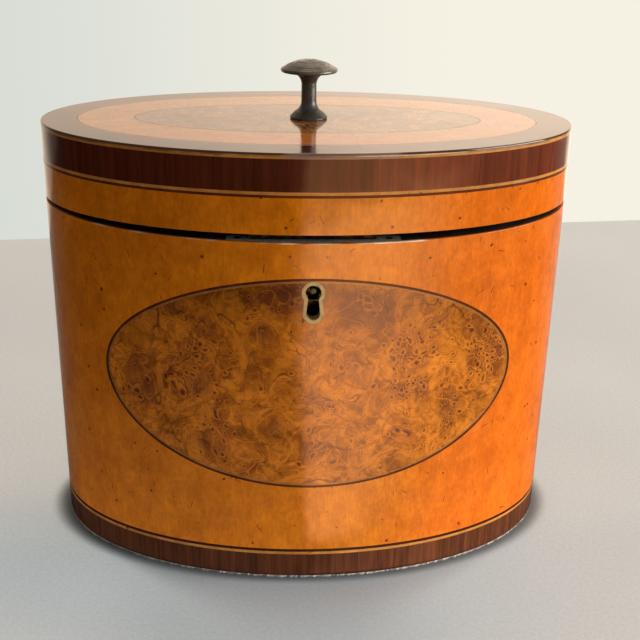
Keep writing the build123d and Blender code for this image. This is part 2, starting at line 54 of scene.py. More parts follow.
# Fineness of the curved pieces, and limits
BAND_SIDES = 384
OVAL_SIDES = 320
TURNED_SIDES = 128
ROUND_STEPS = 4
ARC_STEPS = 14
WELD = 2e-6
ARC_TABLE = 2881
SMOOTH_ANGLE = radians(32)
FAR = 0.3


def low(node):
    """The lowest height of a node of the frame."""
    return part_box(node)[0].z


def high(node):
    """The greatest height of a node of the frame."""
    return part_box(node)[1].z


def length(name, default, description):
    """A property for a length in metres."""
    return bpy.props.FloatProperty(
        name=name, default=default, description=description, unit="LENGTH", precision=5
    )


def angle(name, default, description):
    """A property for an angle, which is given here in degrees."""
    return bpy.props.FloatProperty(
        name=name, default=radians(default), description=description, subtype="ANGLE"
    )


def colour(name, default, description):
    """A property for a colour."""
    return bpy.props.FloatVectorProperty(
        name=name, default=default, description=description, subtype="COLOR", min=0, max=1
    )


class CaddySizes(bpy.types.PropertyGroup):
    """Sizes of the caddy's pieces, as the frame has them."""

    half_width: length("Half width", 0.075, "From the middle to the end of the oval")
    half_depth: length("Half depth", 0.046, "From the middle to the front of the oval")
    body_height: length("Body height", high("body_veneer"), "Height of the body's rim")
    veneer: length("Veneer", 0.0008, "Thickness of the veneer on the sides")
    glue: length("Glue line", 0.00004, "Room between pieces that are glued")
    wall: length("Wall", 0.0065, "Thickness of the carcase's wall")
    foot_box_line: length("Foot's box line", 0.00085, "Width of the box line above the foot")
    ebony_line: length("Ebony line", 0.00072, "Width of a line of ebony")
    oval_box_line: length("Oval's box line", 0.00055, "Width of the box line round the front oval")
    top_line: length("Top's lines", 0.0005, "Width of each line in the lid's top")
    oval_half_width: length("Oval half width", 0.0566, "Half width of the front oval")
    oval_half_height: length("Oval half height", 0.0311, "Half height of the front oval")
    oval_drop: length("Oval drop", 0.04045, "From the rim down to the oval's middle")
    ledge_width: length("Ledge width", 0.0022, "Width of the ledge for the inner lid")
    foil: length("Foil", 0.0003, "Thickness of the tin foil")


class LidSizes(bpy.types.PropertyGroup):
    """Sizes of the lid's pieces, drawn shut."""

    height: length("Lid height", 0.02094, "From the body's rim to the lid's top")
    satinwood: length("Satinwood", 0.0096, "Height of the satinwood on the lid's side")
    box_line: length("Side's box line", 0.0008, "Width of the box line on the lid's side")
    edge_string: length("Edge line", 0.0009, "Height of the box line on the lid's edge")
    top_veneer: length("Top veneer", 0.00055, "Thickness of the veneer on the top")
    board: length("Board", 0.005, "Thickness of the lid's board")
    rim_facing: length("Rim facing", 0.001, "Thickness of the black facing of the rims")
    lining: length("Lining", 0.0003, "Thickness of the lining paper")
    crossband: length("Crossband", 0.0092, "Width of the crossband on the top")
    burr_half_width: length("Burr half width", 0.0494, "Half width of the burr oval on the top")
    burr_half_depth: length("Burr half depth", 0.0214, "Half depth of the burr oval on the top")
    hinge_inset: length("Hinge inset", 0.002, "From the outline in to the hinge's axis")
    rise: length("Link plate's rise", 0.002075, "Height by which the link plate keeps the lid up")
    rise_reach: length("Link plate's reach", 0.0849, "From the hinge's axis to the link plate")
    arris: length("Arris", 0.00035, "Rounding of the worn arris round the top")


class TurnedSizes(bpy.types.PropertyGroup):
    """Sizes of the two turned knobs and of the escutcheon."""

    foot_radius: length("Foot radius", 0.00528, "Radius of the bronze knob's foot")
    foot_height: length("Foot height", 0.0008, "Height of the bronze knob's foot")
    stem_radius: length("Stem radius", 0.00215, "Radius of the knob's stem")
    stem_foot: length("Stem foot", 0.005, "Where the stem's straight part starts")
    stem_head: length("Stem head", 0.0096, "Where the stem's straight part ends")
    foot_flare: length("Foot flare", 0.0034, "Radius of the hollow above the foot")
    head_flare: length("Head flare", 0.003, "Radius of the hollow under the cap")
    cap_radius: length("Cap radius", 0.00804, "Radius of the knob's cap")
    lip: length("Lip", 0.0012, "Height of the cap's lip")
    lip_rise: length("Lip rise", 0.0004, "From the hollow up to the lip")
    dome: length("Dome", 0.00233, "Rise of the cap's dome")
    eye_drop: length("Eye drop", 0.0134, "From the rim down to the keyhole's eye")
    keyhole: length("Keyhole", 0.00575, "From the eye's middle to the foot's middle")
    eye_radius: length("Eye radius", 0.00305, "Outer radius of the escutcheon's eye")
    waist: length("Waist", 0.00235, "Half the width of the escutcheon's waist")
    key_foot_radius: length("Keyhole foot", 0.00275, "Outer radius of the escutcheon's foot")
    escutcheon_wall: length("Escutcheon wall", 0.00095, "Width of the brass round the keyhole")
    escutcheon_depth: length("Escutcheon depth", 0.0016, "Depth of the escutcheon")


class WoodColours(bpy.types.PropertyGroup):
    """Colours of the woods."""

    satin_light: colour("Satinwood, light", (0.62, 0.174, 0.005), "The bright figure of satinwood")
    satin_deep: colour("Satinwood, deep", (0.44, 0.112, 0.003), "The deep figure of satinwood")
    fleck: colour("Flecks", (0.070, 0.014, 0.003), "Dark flecks in the satinwood")
    top_satin_light: colour("Top, light", (0.62, 0.215, 0.030), "Faded satinwood of the top")
    top_satin_deep: colour("Top, deep", (0.50, 0.150, 0.018), "Deep figure of the faded satinwood")
    top_burr_light: colour("Top burr, light", (0.46, 0.175, 0.038), "Faded burr of the top")
    top_burr_deep: colour("Top burr, deep", (0.15, 0.050, 0.015), "Deep figure of the faded burr")
    burr_light: colour("Burr, light", (0.57, 0.170, 0.011), "Pale curls of the burr wood")
    burr_deep: colour("Burr, deep", (0.30, 0.080, 0.006), "Brown of the burr wood")
    burr_eye: colour("Burr, eyes", (0.045, 0.010, 0.006), "Dark eyes of the burr wood")
    burr_cluster: colour("Burr, clusters", (0.125, 0.030, 0.012), "Stain round the eyes")
    cross_light: colour("Crossband, light", (0.125, 0.025, 0.009), "Red streaks of the crossband")
    cross_deep: colour("Crossband, deep", (0.058, 0.013, 0.005), "Dark streaks of the crossband")
    foot_light: colour("Foot, light", (0.128, 0.037, 0.013), "Light streaks of the foot's band")
    foot_deep: colour("Foot, deep", (0.050, 0.015, 0.006), "Dark streaks of the foot's band")
    box_light: colour("Boxwood, light", (0.47, 0.195, 0.034), "Boxwood of the lines")
    box_deep: colour("Boxwood, deep", (0.33, 0.125, 0.020), "Darker boxwood of the lines")
    oval_box_light: colour("Oval's box line, light", (0.32, 0.135, 0.030), "Oval's line of boxwood")
    oval_box_deep: colour("Oval's box line, deep", (0.20, 0.076, 0.017), "Its darker boxwood")
    foot_ebony: colour("Foot's ebony", (0.045, 0.012, 0.003), "Ebony line above the foot")
    ebony_light: colour("Ebony, light", (0.110, 0.024, 0.005), "Streaks of the ebony lines")
    worn_grey: colour("Worn arris", (0.20, 0.125, 0.090), "Bare and dirty wood on the lid's arris")
    # A darker line laid along the arris of the lid's top and of its edge line
    dark_arris_line: colour("Dark line", (0.045, 0.018, 0.008), "Dirt along the arris of the lid's top")
    # Painted highlight: a pale colour laid on arrises where light glints off them
    painted_arris_highlight: colour("Arris highlights", (0.85, 0.68, 0.52), "Painted highlights on the arrises")
    ebony_deep: colour("Ebony, deep", (0.055, 0.012, 0.003), "Ebony of the lines")


# The start and the end of a piece's making


def start_clean():
    """Leaves edit mode and deselects all, so that an operator acts on the new piece only."""
    if bpy.context.mode != "OBJECT":
        bpy.ops.object.mode_set(mode="OBJECT")
    bpy.ops.object.select_all(action="DESELECT")


def select_only(piece):
    """Makes one piece the only one selected."""
    start_clean()
    piece.select_set(True)
    bpy.context.view_layer.objects.active = piece


def name_new(name):
    """Names the piece that a primitive operator has just added."""
    piece = bpy.context.object
    piece.name = name
    piece.data.name = name
    return piece


def apply_modifier(piece, kind, **settings):
    """Adds a modifier with its settings and applies it."""
    select_only(piece)
    bpy.ops.object.modifier_add(type=kind)
    modifier = piece.modifiers[-1]
    for key, value in settings.items():
        setattr(modifier, key, value)
    bpy.ops.object.modifier_apply(modifier=modifier.name)


def combine(piece, tool, operation, keep_tool=False):
    """Cuts, joins or intersects a piece with a tool."""
    apply_modifier(piece, "BOOLEAN", operation=operation, object=tool, solver="EXACT")
    if not keep_tool:
        discard(tool)


def discard(*tools):
    """Deletes tools that have done their work."""
    for tool in tools:
        select_only(tool)
        bpy.ops.object.delete()


def edit_all():
    """Enters edit mode with all of the mesh selected."""
    bpy.ops.object.mode_set(mode="EDIT")
    bpy.ops.mesh.select_all(action="SELECT")


def clean_faces(piece):
    """Welds doubles and turns the faces outwards."""
    select_only(piece)
    edit_all()
    bpy.ops.mesh.remove_doubles(threshold=WELD)
    bpy.ops.mesh.normals_make_consistent(inside=False)
    bpy.ops.object.mode_set(mode="OBJECT")


def finish_piece(piece, finish, body, *nodes):
    """Smooths a piece, gives it its finish and has it ride and stand in for its nodes."""
    select_only(piece)
    bpy.ops.object.shade_smooth_by_angle(angle=SMOOTH_ANGLE)
    apply_modifier(piece, "WEIGHTED_NORMAL", keep_sharp=True, mode="FACE_AREA")
    piece.data.materials.clear()
    piece.data.materials.append(MATERIALS[finish])
    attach(piece, body)
    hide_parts(*nodes)


# The record's slot of each finish that is not named like it
SLOTS = {
    "lid_satinwood": "satinwood",
    "top_satinwood": "satinwood",
    "top_burr_wood": "burr_wood",
    "lid_crossband": "crossband_wood",
    "top_crossband": "crossband_wood",
    "oval_boxwood": "boxwood",
    "edge_boxwood": "boxwood",
    "foot_ebony": "ebony",
    "dull_brass": "old_brass",
    "lock_brass": "old_brass",
    "black_brass": "old_brass",
    "dull_iron": "iron",
}


# Forms


def lay_sheet(piece, way="wrap"):
    """Maps a piece as the sheet of veneer that it is, in metres.

    A wrapped sheet runs round the oval from the front and up, a cross sheet runs round the oval
    and out from its middle, and a flat one lies as seen from above.
    """
    sizes = bpy.context.scene.caddy
    mesh = piece.data
    sheet = mesh.uv_layers.get(SHEET_MAP) or mesh.uv_layers.new(name=SHEET_MAP)
    mesh.uv_layers.active = sheet
    places = np.empty(len(mesh.vertices) * 3)
    mesh.vertices.foreach_get("co", places)
    places = places.reshape(-1, 3)
    corner = np.empty(len(mesh.loops), dtype=int)
    mesh.loops.foreach_get("vertex_index", corner)
    across, deep = places[:, 0] / sizes.half_width, places[:, 1] / sizes.half_depth
    turn = np.arctan2(across, -deep)[corner]
    counts = np.empty(len(mesh.polygons), dtype=int)
    mesh.polygons.foreach_get("loop_total", counts)
    face = np.repeat(np.arange(len(counts)), counts)
    right = np.bincount(face, turn > pi / 2) > 0
    turn = np.where(right[face] & (turn < -pi / 2), turn + 2 * pi, turn)
    steps = np.linspace(-pi, 3 * pi, ARC_TABLE)
    speed = np.hypot(sizes.half_width * np.cos(steps), sizes.half_depth * np.sin(steps))
    run = np.concatenate(([0.0], np.cumsum((speed[1:] + speed[:-1]) / 2 * np.diff(steps))))
    along = np.interp(turn, steps, run - np.interp(0.0, steps, run))
    if way == "wrap":
        flat = np.column_stack((along, places[corner, 2]))
    elif way == "cross":
        flat = np.column_stack((along, np.hypot(across, deep)[corner] * sizes.half_depth))
    else:
        flat = places[corner, :2]
    sheet.data.foreach_set("uv", flat.ravel())
    return piece


def wrapped(name, stations, sides=BAND_SIDES, capped=False, way="wrap"):
    """Draws an oval at the first station and extrudes it along the others.

    A station is the half width, half depth and height of an oval.
    """
    start_clean()
    bpy.ops.mesh.primitive_circle_add(
        vertices=sides, radius=1.0, fill_type="NGON" if capped else "NOTHING", location=(0, 0, 0)
    )
    piece = name_new(name)
    edit_all()
    wide, deep, height = stations[0]
    bpy.ops.transform.resize(value=(wide, deep, 1.0), center_override=(0, 0, 0))
    bpy.ops.transform.translate(value=(0, 0, height))
    route = list(stations[1:]) if capped else list(stations[1:]) + [stations[0]]
    for next_wide, next_deep, next_height in route:
        bpy.ops.mesh.extrude_region_move(
            TRANSFORM_OT_translate={"value": (0, 0, next_height - height)}
        )
        if next_wide <= 0:
            bpy.ops.mesh.merge(type="CENTER")
            break
        bpy.ops.transform.resize(
            value=(next_wide / wide, next_deep / deep, 1.0), center_override=(0, 0, next_height)
        )
        wide, deep, height = next_wide, next_deep, next_height
    bpy.ops.object.mode_set(mode="OBJECT")
    clean_faces(piece)
    return lay_sheet(piece, way)


def along_outline(section, half_width, half_depth):
    """Stations for a section that is given as insets from an oval and heights."""
    return [(half_width - inset, half_depth - inset, height) for inset, height in section]


def band_section(outer, inner, foot, head, foot_round=0.0, head_round=0.0):
    """The section of a band, as insets and heights, with its outer arrises rounded."""
    turns = [step * pi / 2 / ROUND_STEPS for step in range(ROUND_STEPS + 1)]
    section = []
    for turn in turns if foot_round else turns[-1:]:
        section.append((outer + foot_round * (1 - sin(turn)), foot + foot_round * (1 - cos(turn))))
    for turn in turns if head_round else turns[:1]:
        section.append((outer + head_round * (1 - cos(turn)), head - head_round * (1 - sin(turn))))
    return section + [(inner, head), (inner, foot)]


def band(name, outer, inner, foot, head, foot_round=0.0, head_round=0.0, way="wrap"):
    """A band round the caddy's own outline."""
    sizes = bpy.context.scene.caddy
    section = band_section(outer, inner, foot, head, foot_round, head_round)
    return wrapped(name, along_outline(section, sizes.half_width, sizes.half_depth), way=way)


def sheet_of(name, inset, foot, head, arris=0.0, way="wrap"):
    """A flat oval sheet inside the caddy's own outline, whose upper arris may be eased."""
    sizes = bpy.context.scene.caddy
    section = [(inset, foot), (inset, head - arris)] + ([(inset + arris, head)] if arris else [])
    stations = along_outline(section, sizes.half_width, sizes.half_depth)
    return wrapped(name, stations, capped=True, way=way)


def box_tool(name, x_span, y_span, z_span):
    """A block given by its ends along each axis."""
    start_clean()
    middle = [(first + last) / 2 for first, last in (x_span, y_span, z_span)]
    size = [last - first for first, last in (x_span, y_span, z_span)]
    bpy.ops.mesh.primitive_cube_add(size=1.0, location=middle)
    tool = name_new(name)
    tool.scale = size
    bpy.ops.object.transform_apply(location=True, rotation=True, scale=True)
    return tool


def turn_about_x(piece, angle, y, z):
    """Turns a piece about a line along X and puts its place back into its mesh."""
    select_only(piece)
    centre = Vector((0, y, z))
    piece.matrix_world = (
        Matrix.Translation(centre) @ Matrix.Rotation(angle, 4, "X") @ Matrix.Translation(-centre)
    )
    bpy.ops.object.transform_apply(location=True, rotation=True, scale=True)
    return piece


def prism_tool(name, half_x, half_z, height, sides):
    """An oval rod along Y, from the middle out through the front."""
    start_clean()
    bpy.ops.mesh.primitive_cylinder_add(
        vertices=sides, radius=1.0, depth=1.0, location=(0, -FAR / 2, height),
        rotation=(pi / 2, 0, 0),
    )
    tool = name_new(name)
    tool.scale = (half_x, half_z, FAR)
    bpy.ops.object.transform_apply(location=True, rotation=True, scale=True)
    return tool


def front_oval_tool(inset):
    """The rod that cuts the front oval out of the veneer."""
    sizes = bpy.context.scene.caddy
    half_width, half_height = sizes.oval_half_width - inset, sizes.oval_half_height - inset
    middle = sizes.body_height - sizes.oval_drop
    return prism_tool("oval_tool", half_width, half_height, middle, OVAL_SIDES)


def arc(centre, radius, first, last, steps=ARC_STEPS):
    """Points on an arc of a section, by its first and last angle in degrees."""
    turns = [radians(first + (last - first) * step / steps) for step in range(steps + 1)]
    return [(centre[0] + radius * cos(turn), centre[1] + radius * sin(turn)) for turn in turns]


def keyhole_outline(inset):
    """Places across and up on the escutcheon's outline: round the eye, then round the foot."""
    turned = bpy.context.scene.turned
    eye_height = bpy.context.scene.caddy.body_height - turned.eye_drop
    eye, foot = turned.eye_radius - inset, turned.key_foot_radius - inset
    spread = degrees(acos((turned.waist - inset) / eye))
    return [
        *arc((0.0, eye_height), eye, -spread, 180 + spread, steps=EYE_STEPS - 1),
        *arc((0.0, eye_height - turned.keyhole), foot, 180, 360, TURNED_SIDES - EYE_STEPS - 1),
    ]


def keyhole_tool(inset):
    """The rod with the escutcheon's outline: an eye, a foot and a tapering waist."""
    outline = keyhole_outline(inset)
    tool = prism_tool("keyhole_tool", 1.0, 1.0, 0.0, TURNED_SIDES)
    for vertex in tool.data.vertices:
        turn = atan2(vertex.co.z, vertex.co.x)
        place = round(turn / (2 * pi) * TURNED_SIDES) % TURNED_SIDES
        vertex.co.x, vertex.co.z = outline[place]
    return tool


EYE_STEPS = 84


def hinge_pocket_tools(upwards):
    """The wood cut away for a leaf of the hinge and behind its axis."""
    sizes, lid = bpy.context.scene.caddy, bpy.context.scene.lid
    axis_y = sizes.half_depth - lid.hinge_inset
    sense = 1.0 if upwards else -1.0
    half = POCKET_HALF_LENGTH

    def span(reach):
        return sorted((sizes.body_height + sense * reach, sizes.body_height - sense * sizes.glue))

    saddle, plate = (
        box_tool(name, (-half, half), (axis_y - reach, FAR), span(depth))
        for name, reach, depth in (
            ("saddle_tool", SADDLE_REACH, SADDLE_DEPTH), ("plate_tool", PLATE_REACH, PLATE_DEPTH)
        )
    )
    ends = sorted((sizes.body_height, sizes.body_height - sense * RELIEF_SIZE))
    relief = box_tool("relief_tool", (-FAR, FAR), (axis_y, axis_y + RELIEF_SIZE), ends)
    turn_about_x(relief, sense * RELIEF_ANGLE, axis_y, sizes.body_height)
    return saddle, plate, relief


def cut_hinge_pocket(pieces, upwards):
    """Cuts the hinge's pocket out of several pieces."""
    tools = hinge_pocket_tools(upwards)
    for piece in pieces:
        for tool in tools:
            combine(piece, tool, "DIFFERENCE", keep_tool=True)
    discard(*tools)


def stand_ajar(piece):
    """Raises a piece that was drawn shut to where the lid stands."""
    sizes, lid = bpy.context.scene.caddy, bpy.context.scene.lid
    angle = -asin(lid.rise / lid.rise_reach)
    return turn_about_x(piece, angle, sizes.half_depth - lid.hinge_inset, sizes.body_height)


def finish_on_lid(piece, finish, node):
    """Finishes a piece of the lid that was drawn shut."""
    finish_piece(stand_ajar(piece), finish, "lid", node)


def frame_copy(node, name, bevel):
    """A welded copy of a node of the frame with its edges eased."""
    start_clean()
    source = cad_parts[node]
    piece = bpy.data.objects.new(name, source.data.copy())
    piece.data.name = name
    bpy.context.scene.collection.objects.link(piece)
    select_only(piece)
    bpy.ops.mesh.customdata_custom_splitnormals_clear()
    edit_all()
    bpy.ops.mesh.remove_doubles(threshold=WELD)
    bpy.ops.mesh.dissolve_limited(angle_limit=FLAT_ANGLE)
    bpy.ops.object.mode_set(mode="OBJECT")
    if bevel:
        apply_modifier(
            piece, "BEVEL", width=bevel, segments=2, limit_method="ANGLE", angle_limit=BEVEL_ANGLE,
            use_clamp_overlap=True,
        )
    return piece


# The pocket of a hinge's leaf, with the room round it
POCKET_HALF_LENGTH = 0.01755
SADDLE_REACH = 0.00265
SADDLE_DEPTH = 0.00405
PLATE_REACH = 0.00465
PLATE_DEPTH = 0.00155
RELIEF_SIZE = 0.04
RELIEF_ANGLE = radians(52)

# Rounding of edges
FLAT_ANGLE = radians(0.5)
BEVEL_ANGLE = radians(38)
RIM_ARRIS = 0.0001
FOOT_ARRIS = 0.0003
HARDWARE_BEVEL = 0.00012

MATERIALS = {}
GROUPS = {}

# Shader nodes


def feed(node, inputs):
    """Gives a node its inputs, which are values or flows."""
    for key, value in inputs.items():
        socket = node.inputs[key]
        if isinstance(value, Flow):
            node.id_data.links.new(value.socket, socket)
        elif socket.type == "RGBA":
            socket.default_value = (*value, 1.0)
        else:
            socket.default_value = value
    return node


def put(tree, kind, inputs=None, **settings):
    """Adds a shader node with its settings and its inputs."""
    node = tree.nodes.new("ShaderNode" + kind)
    for key, value in settings.items():
        setattr(node, key, value)
    return feed(node, inputs or {})


def flows(node):
    """All that comes out of a node, by name."""
    return {socket.name: Flow(socket) for socket in node.outputs}


class Flow:
    """A value that flows through a shader: what is done to it adds nodes after its socket."""

    def __init__(self, socket):
        self.socket = socket
        self.tree = socket.id_data

    def into(self, kind, inputs=None, output=0, **settings):
        """What comes out of a new node whose first input is this value."""
        return Flow(put(self.tree, kind, {0: self, **(inputs or {})}, **settings).outputs[output])

    def calc(self, operation, second=0.0):
        """The result of a Math node."""
        return self.into("Math", {1: second}, operation=operation)

    def __add__(self, other):
        return self.calc("ADD", other)

    def __sub__(self, other):
        return self.calc("SUBTRACT", other)

    def __rsub__(self, other):
        return Flow(put(self.tree, "Math", {0: other, 1: self}, operation="SUBTRACT").outputs[0])

    def __mul__(self, other):
        return self.calc("MULTIPLY", other)

    def __truediv__(self, other):
        return self.calc("DIVIDE", other)

    def __abs__(self):
        return self.calc("ABSOLUTE")

    def most(self, other):
        """The greater of two values."""
        return self.calc("MAXIMUM", other)

    def step(self, start, end, before=0.0, after=1.0):
        """A soft step from one value of this to another, and what it is before and after."""
        inputs = {"From Min": start, "From Max": end, "To Min": before, "To Max": after}
        return self.into("MapRange", inputs, interpolation_type="SMOOTHSTEP")

    def line(self, place, width):
        """A thin line where this value passes a place."""
        return abs(self - place).step(width, width * LINE_CORE)

    def choose(self, first, second):
        """One value where this one is nought, and another where it is one."""
        return self.into("Mix", {2: first, 3: second})

    def under(self, colour, share):
        """This colour with another laid over it by a share."""
        return blend(share, self, colour)

    def shaded(self, shade):
        """This colour made darker or lighter by a shade."""
        return blend(1.0, self, shade, "MULTIPLY")

    def parts(self):
        """The three parts of a vector or of a colour."""
        kind = "SeparateColor" if self.socket.type == "RGBA" else "SeparateXYZ"
        return [Flow(part) for part in put(self.tree, kind, {0: self}).outputs]

    def placed(self, scale=(1.0, 1.0, 1.0), turn=(0.0, 0.0, 0.0), place=(0.0, 0.0, 0.0),
               **settings):
        """Coordinates that are turned, moved and scaled, so that a pattern is drawn out."""
        inputs = {"Scale": scale, "Rotation": turn, "Location": place}
        return self.into("Mapping", inputs, **settings)

    def vector(self, operation, inputs=None, output=0):
        """The result of a Vector Math node."""
        return self.into("VectorMath", inputs, output, operation=operation)

    def reach(self, middle, halves, lean=0.0):
        """How far a place lies from the middle of an oval, in halves of that oval's size."""
        local = self.placed((*halves, 1.0), (0.0, 0.0, lean), (*middle, 0.0), vector_type="TEXTURE")
        return local.vector("LENGTH", output="Value")

    def clouds(self, scale=1.0, detail=2.0, roughness=0.5, distortion=0.0, output=0):
        """Noise at a scale."""
        inputs = {"Scale": scale, "Detail": detail, "Roughness": roughness,
                  "Distortion": distortion}
        return self.into("TexNoise", inputs, output)

    def cells(self, scale):
        """All that comes out of a Voronoi node of a scale."""
        inputs = {"Vector": self, "Scale": scale}
        return flows(put(self.tree, "TexVoronoi", inputs, voronoi_dimensions="2D"))

    def warped(self, scale, amount):
        """Coordinates that are pushed about by noise."""
        push = self.clouds(scale, output=1).vector("SUBTRACT", {1: (0.5, 0.5, 0.5)})
        return self.vector("ADD", {1: push.vector("SCALE", {"Scale": amount})})

    def group(self, name, **inputs):
        """All that comes out of a shader node group on these coordinates."""
        inputs = {"Vector": self, **inputs}
        return flows(put(self.tree, "Group", inputs, node_tree=GROUPS[name]))

    def relief(self, strength, distance, **others):
        """The normals of a surface that has this value as its height."""
        inputs = {"Height": self, "Strength": strength, "Distance": distance, **others}
        return Flow(put(self.tree, "Bump", inputs).outputs[0])


LINE_CORE = 0.2


def blend(share, first, second, kind="MIX"):
    """Two colours mixed by a share."""
    tree = next(part.tree for part in (share, first, second) if isinstance(part, Flow))
    node = put(tree, "Mix", {0: share, 6: first, 7: second}, data_type="RGBA", blend_type=kind)
    return Flow(node.outputs[2])


def new_group(name, inputs, outputs):
    """An empty shader node group; gives its inputs as flows, and its end."""
    tree = bpy.data.node_groups.new(name, "ShaderNodeTree")
    for label, default in inputs.items():
        kind = "Vector" if default is None else "Color" if isinstance(default, tuple) else "Float"
        socket = tree.interface.new_socket(name=label, socket_type="NodeSocket" + kind)
        if default is not None:
            socket.default_value = (*default, 1.0) if kind == "Color" else default
    for label in outputs:
        kind = "NodeSocketColor" if label == "Color" else "NodeSocketFloat"
        tree.interface.new_socket(name=label, in_out="OUTPUT", socket_type=kind)
    GROUPS[name] = tree
    return flows(tree.nodes.new("NodeGroupInput")), tree.nodes.new("NodeGroupOutput")


def make_flecks():
    """Short dark dashes and dots in all directions, and sparse."""
    given, result = new_group(
        "flecks",
        {"Vector": None, "Scale": 200.0, "Length": 0.3, "Width": 0.03, "Amount": 0.3},
        ["Mask"],
    )
    bent = given["Vector"].warped(700.0, 0.0007)
    cell = bent.cells(given["Scale"])
    centre = cell["Position"].vector("SCALE", {"Scale": given["Scale"]})
    local = bent.vector("SCALE", {"Scale": given["Scale"]}).vector("SUBTRACT", {1: centre})
    lean, chance, own_length = cell["Color"].parts()
    turned = local.into("VectorRotate", {"Angle": (lean - 0.5) * 2.6}, rotation_type="Z_AXIS")
    aside, ahead, _ = turned.parts()
    across = abs(aside) / given["Width"]
    along = abs(ahead) / (given["Length"] * own_length)
    dash = across.step(1.6, 0.5) * along.step(1.0, 0.6)
    feed(result, {"Mask": dash * chance.calc("LESS_THAN", given["Amount"])})


def make_satin_figure():
    """Satinwood: mottle drawn out along the grain, fine grain, dark flecks, and painted warm light
    towards the right of the front.

    The vector's second part runs along the grain.
    """
    given, result = new_group(
        "satin_figure",
        {"Vector": None, "Light": (0.6, 0.2, 0.03), "Deep": (0.3, 0.08, 0.01),
         "Fleck": (0.06, 0.015, 0.004)},
        ["Color", "Height"],
    )
    vector = given["Vector"]
    broad = vector.placed((85.0, 42.0, 1.0)).clouds(detail=3.0, roughness=0.55)
    ripple = vector.warped(60.0, 0.006).placed((300.0, 170.0, 1.0))
    ripple = ripple.clouds(detail=3.0, roughness=0.6)
    fine = vector.placed((2600.0, 170.0, 1.0)).clouds(detail=3.0, roughness=0.65)
    freckles = vector.placed((900.0, 620.0, 1.0)).clouds(distortion=0.6)
    tone = broad.step(0.34, 0.68, 0.0, 0.5) + ripple.step(0.36, 0.66, 0.0, 0.5)
    body = blend(tone, given["Deep"], given["Light"])
    body = body.shaded(fine.step(0.35, 0.7, 0.90, 1.06))
    # Painted warm light: the colour turns rosier along the sheet towards the right of the front
    body = blend(vector.parts()[0].step(*PAINTED_LIGHT_SPAN), body, PAINTED_LIGHT_TINT, "MULTIPLY")
    body = body.shaded(freckles.step(0.36, 0.60, 0.92, 1.04))
    dashes = vector.group("flecks", Scale=190.0, Length=0.28, Width=0.020, Amount=0.22)
    dots = vector.placed(place=(0.31, 0.17, 0.0))
    dots = dots.group("flecks", Scale=150.0, Length=0.09, Width=0.05, Amount=0.28)
    pores = vector.placed((1.0, 0.35, 1.0), place=(0.11, 0.57, 0.0))
    pores = pores.group("flecks", Scale=520.0, Length=0.34, Width=0.05, Amount=0.5)
    marks = (dashes["Mask"] * 0.85).most(dots["Mask"] * 0.9).most(pores["Mask"] * 0.16)
    feed(result, {"Color": body.under(given["Fleck"], marks), "Height": fine * 0.4 - marks})


# Where the painted warm light starts and becomes full along the sheet, and its tint
PAINTED_LIGHT_SPAN = (0.012, 0.045)
PAINTED_LIGHT_TINT = (1.0, 0.76, 0.95)


def make_burr_figure():
    """Burr wood: stained clusters of ringed eyes, bowls, pale curls and veins round them."""
    given, result = new_group(
        "burr_figure",
        {"Vector": None, "Light": (0.5, 0.2, 0.04), "Deep": (0.2, 0.06, 0.015),
         "Eye": (0.06, 0.015, 0.008), "Cluster": (0.16, 0.05, 0.03)},
        ["Color", "Height"],
    )
    vector, light, deep, eye_tint, stain_tint = (
        given[name] for name in ("Vector", "Light", "Deep", "Eye", "Cluster")
    )
    bent = vector.warped(80.0, 0.009)
    curled = bent.warped(260.0, 0.0032)
    mottle = curled.clouds(190.0, detail=4.0, roughness=0.62, distortion=0.9)
    body = blend(mottle.step(0.34, 0.60), deep, light)
    body = body.shaded(bent.clouds(48.0).step(0.32, 0.62, 0.66, 1.06))
    flow = bent.clouds(24.0, detail=1.0, distortion=1.4)
    rings = (flow * 26.0).calc("PINGPONG", 0.5)
    body = body.shaded(rings.step(0.0, 0.4, 0.84, 1.04))

    cluster = bent.clouds(52.0, detail=3.0, roughness=0.6).step(0.55, 0.66)
    stain = cluster * 0.5
    for middle, halves, lean, depth, eyes in BURR_CLUSTERS:
        near = curled.reach(middle, halves, lean).step(1.2, 0.7)
        stain = stain.most(near * depth)
        cluster = cluster.most(near * eyes)
    smoke = curled.clouds(210.0, detail=4.0, roughness=0.7)
    body = body.under(stain_tint, stain * smoke.step(0.34, 0.62, 0.45, 1.0))

    for middle, halves, lean, depth in BURR_BOWLS:
        off = bent.reach(middle, halves, lean)
        body = body.under(stain_tint, off.step(1.0, 0.75) * depth)
        body = body.under(deep, off.line(1.03, 0.09) * 0.6)
        body = body.under(light, off.line(1.2, 0.1) * 0.4)

    for tint, scale, bend, width, amount, levels in (
        (light, 130.0, 0.5, 0.018, 0.60, (0.5,)),
        (stain_tint, 175.0, 0.8, 0.016, 0.42, (0.5, 0.40, 0.60)),
        (eye_tint, 62.0, 1.0, 0.007, 0.60, (0.5,)),
    ):
        veins = bent.clouds(scale, detail=1.0, distortion=bend)
        drawn = veins.line(levels[0], width)
        for level in levels[1:]:
            drawn = drawn.most(veins.line(level, width))
        body = body.under(tint, drawn * amount)

    small = bent.warped(430.0, 0.0013).cells(500.0)
    chance, _, own_size = small["Color"].parts()
    away = small["Distance"] / own_size.step(0.0, 1.0, 0.55, 1.35)
    seen = chance.calc("LESS_THAN", cluster.step(0.0, 1.0, 0.06, 0.88))
    eye = away.step(0.26, 0.12) * seen
    body = body.under(eye_tint, away.line(0.52, 0.10) * seen * 0.50)
    body = body.under(light, away.line(0.36, 0.15) * seen * 0.42)
    body = body.under(eye_tint, eye * 0.70)
    body = body.shaded(vector.parts()[1].step(*BURR_SHADE))
    fine = vector.clouds(3200.0, roughness=0.6)
    body = body.shaded(fine.step(0.3, 0.7, 0.90, 1.08))
    feed(result, {"Color": body, "Height": mottle - eye})


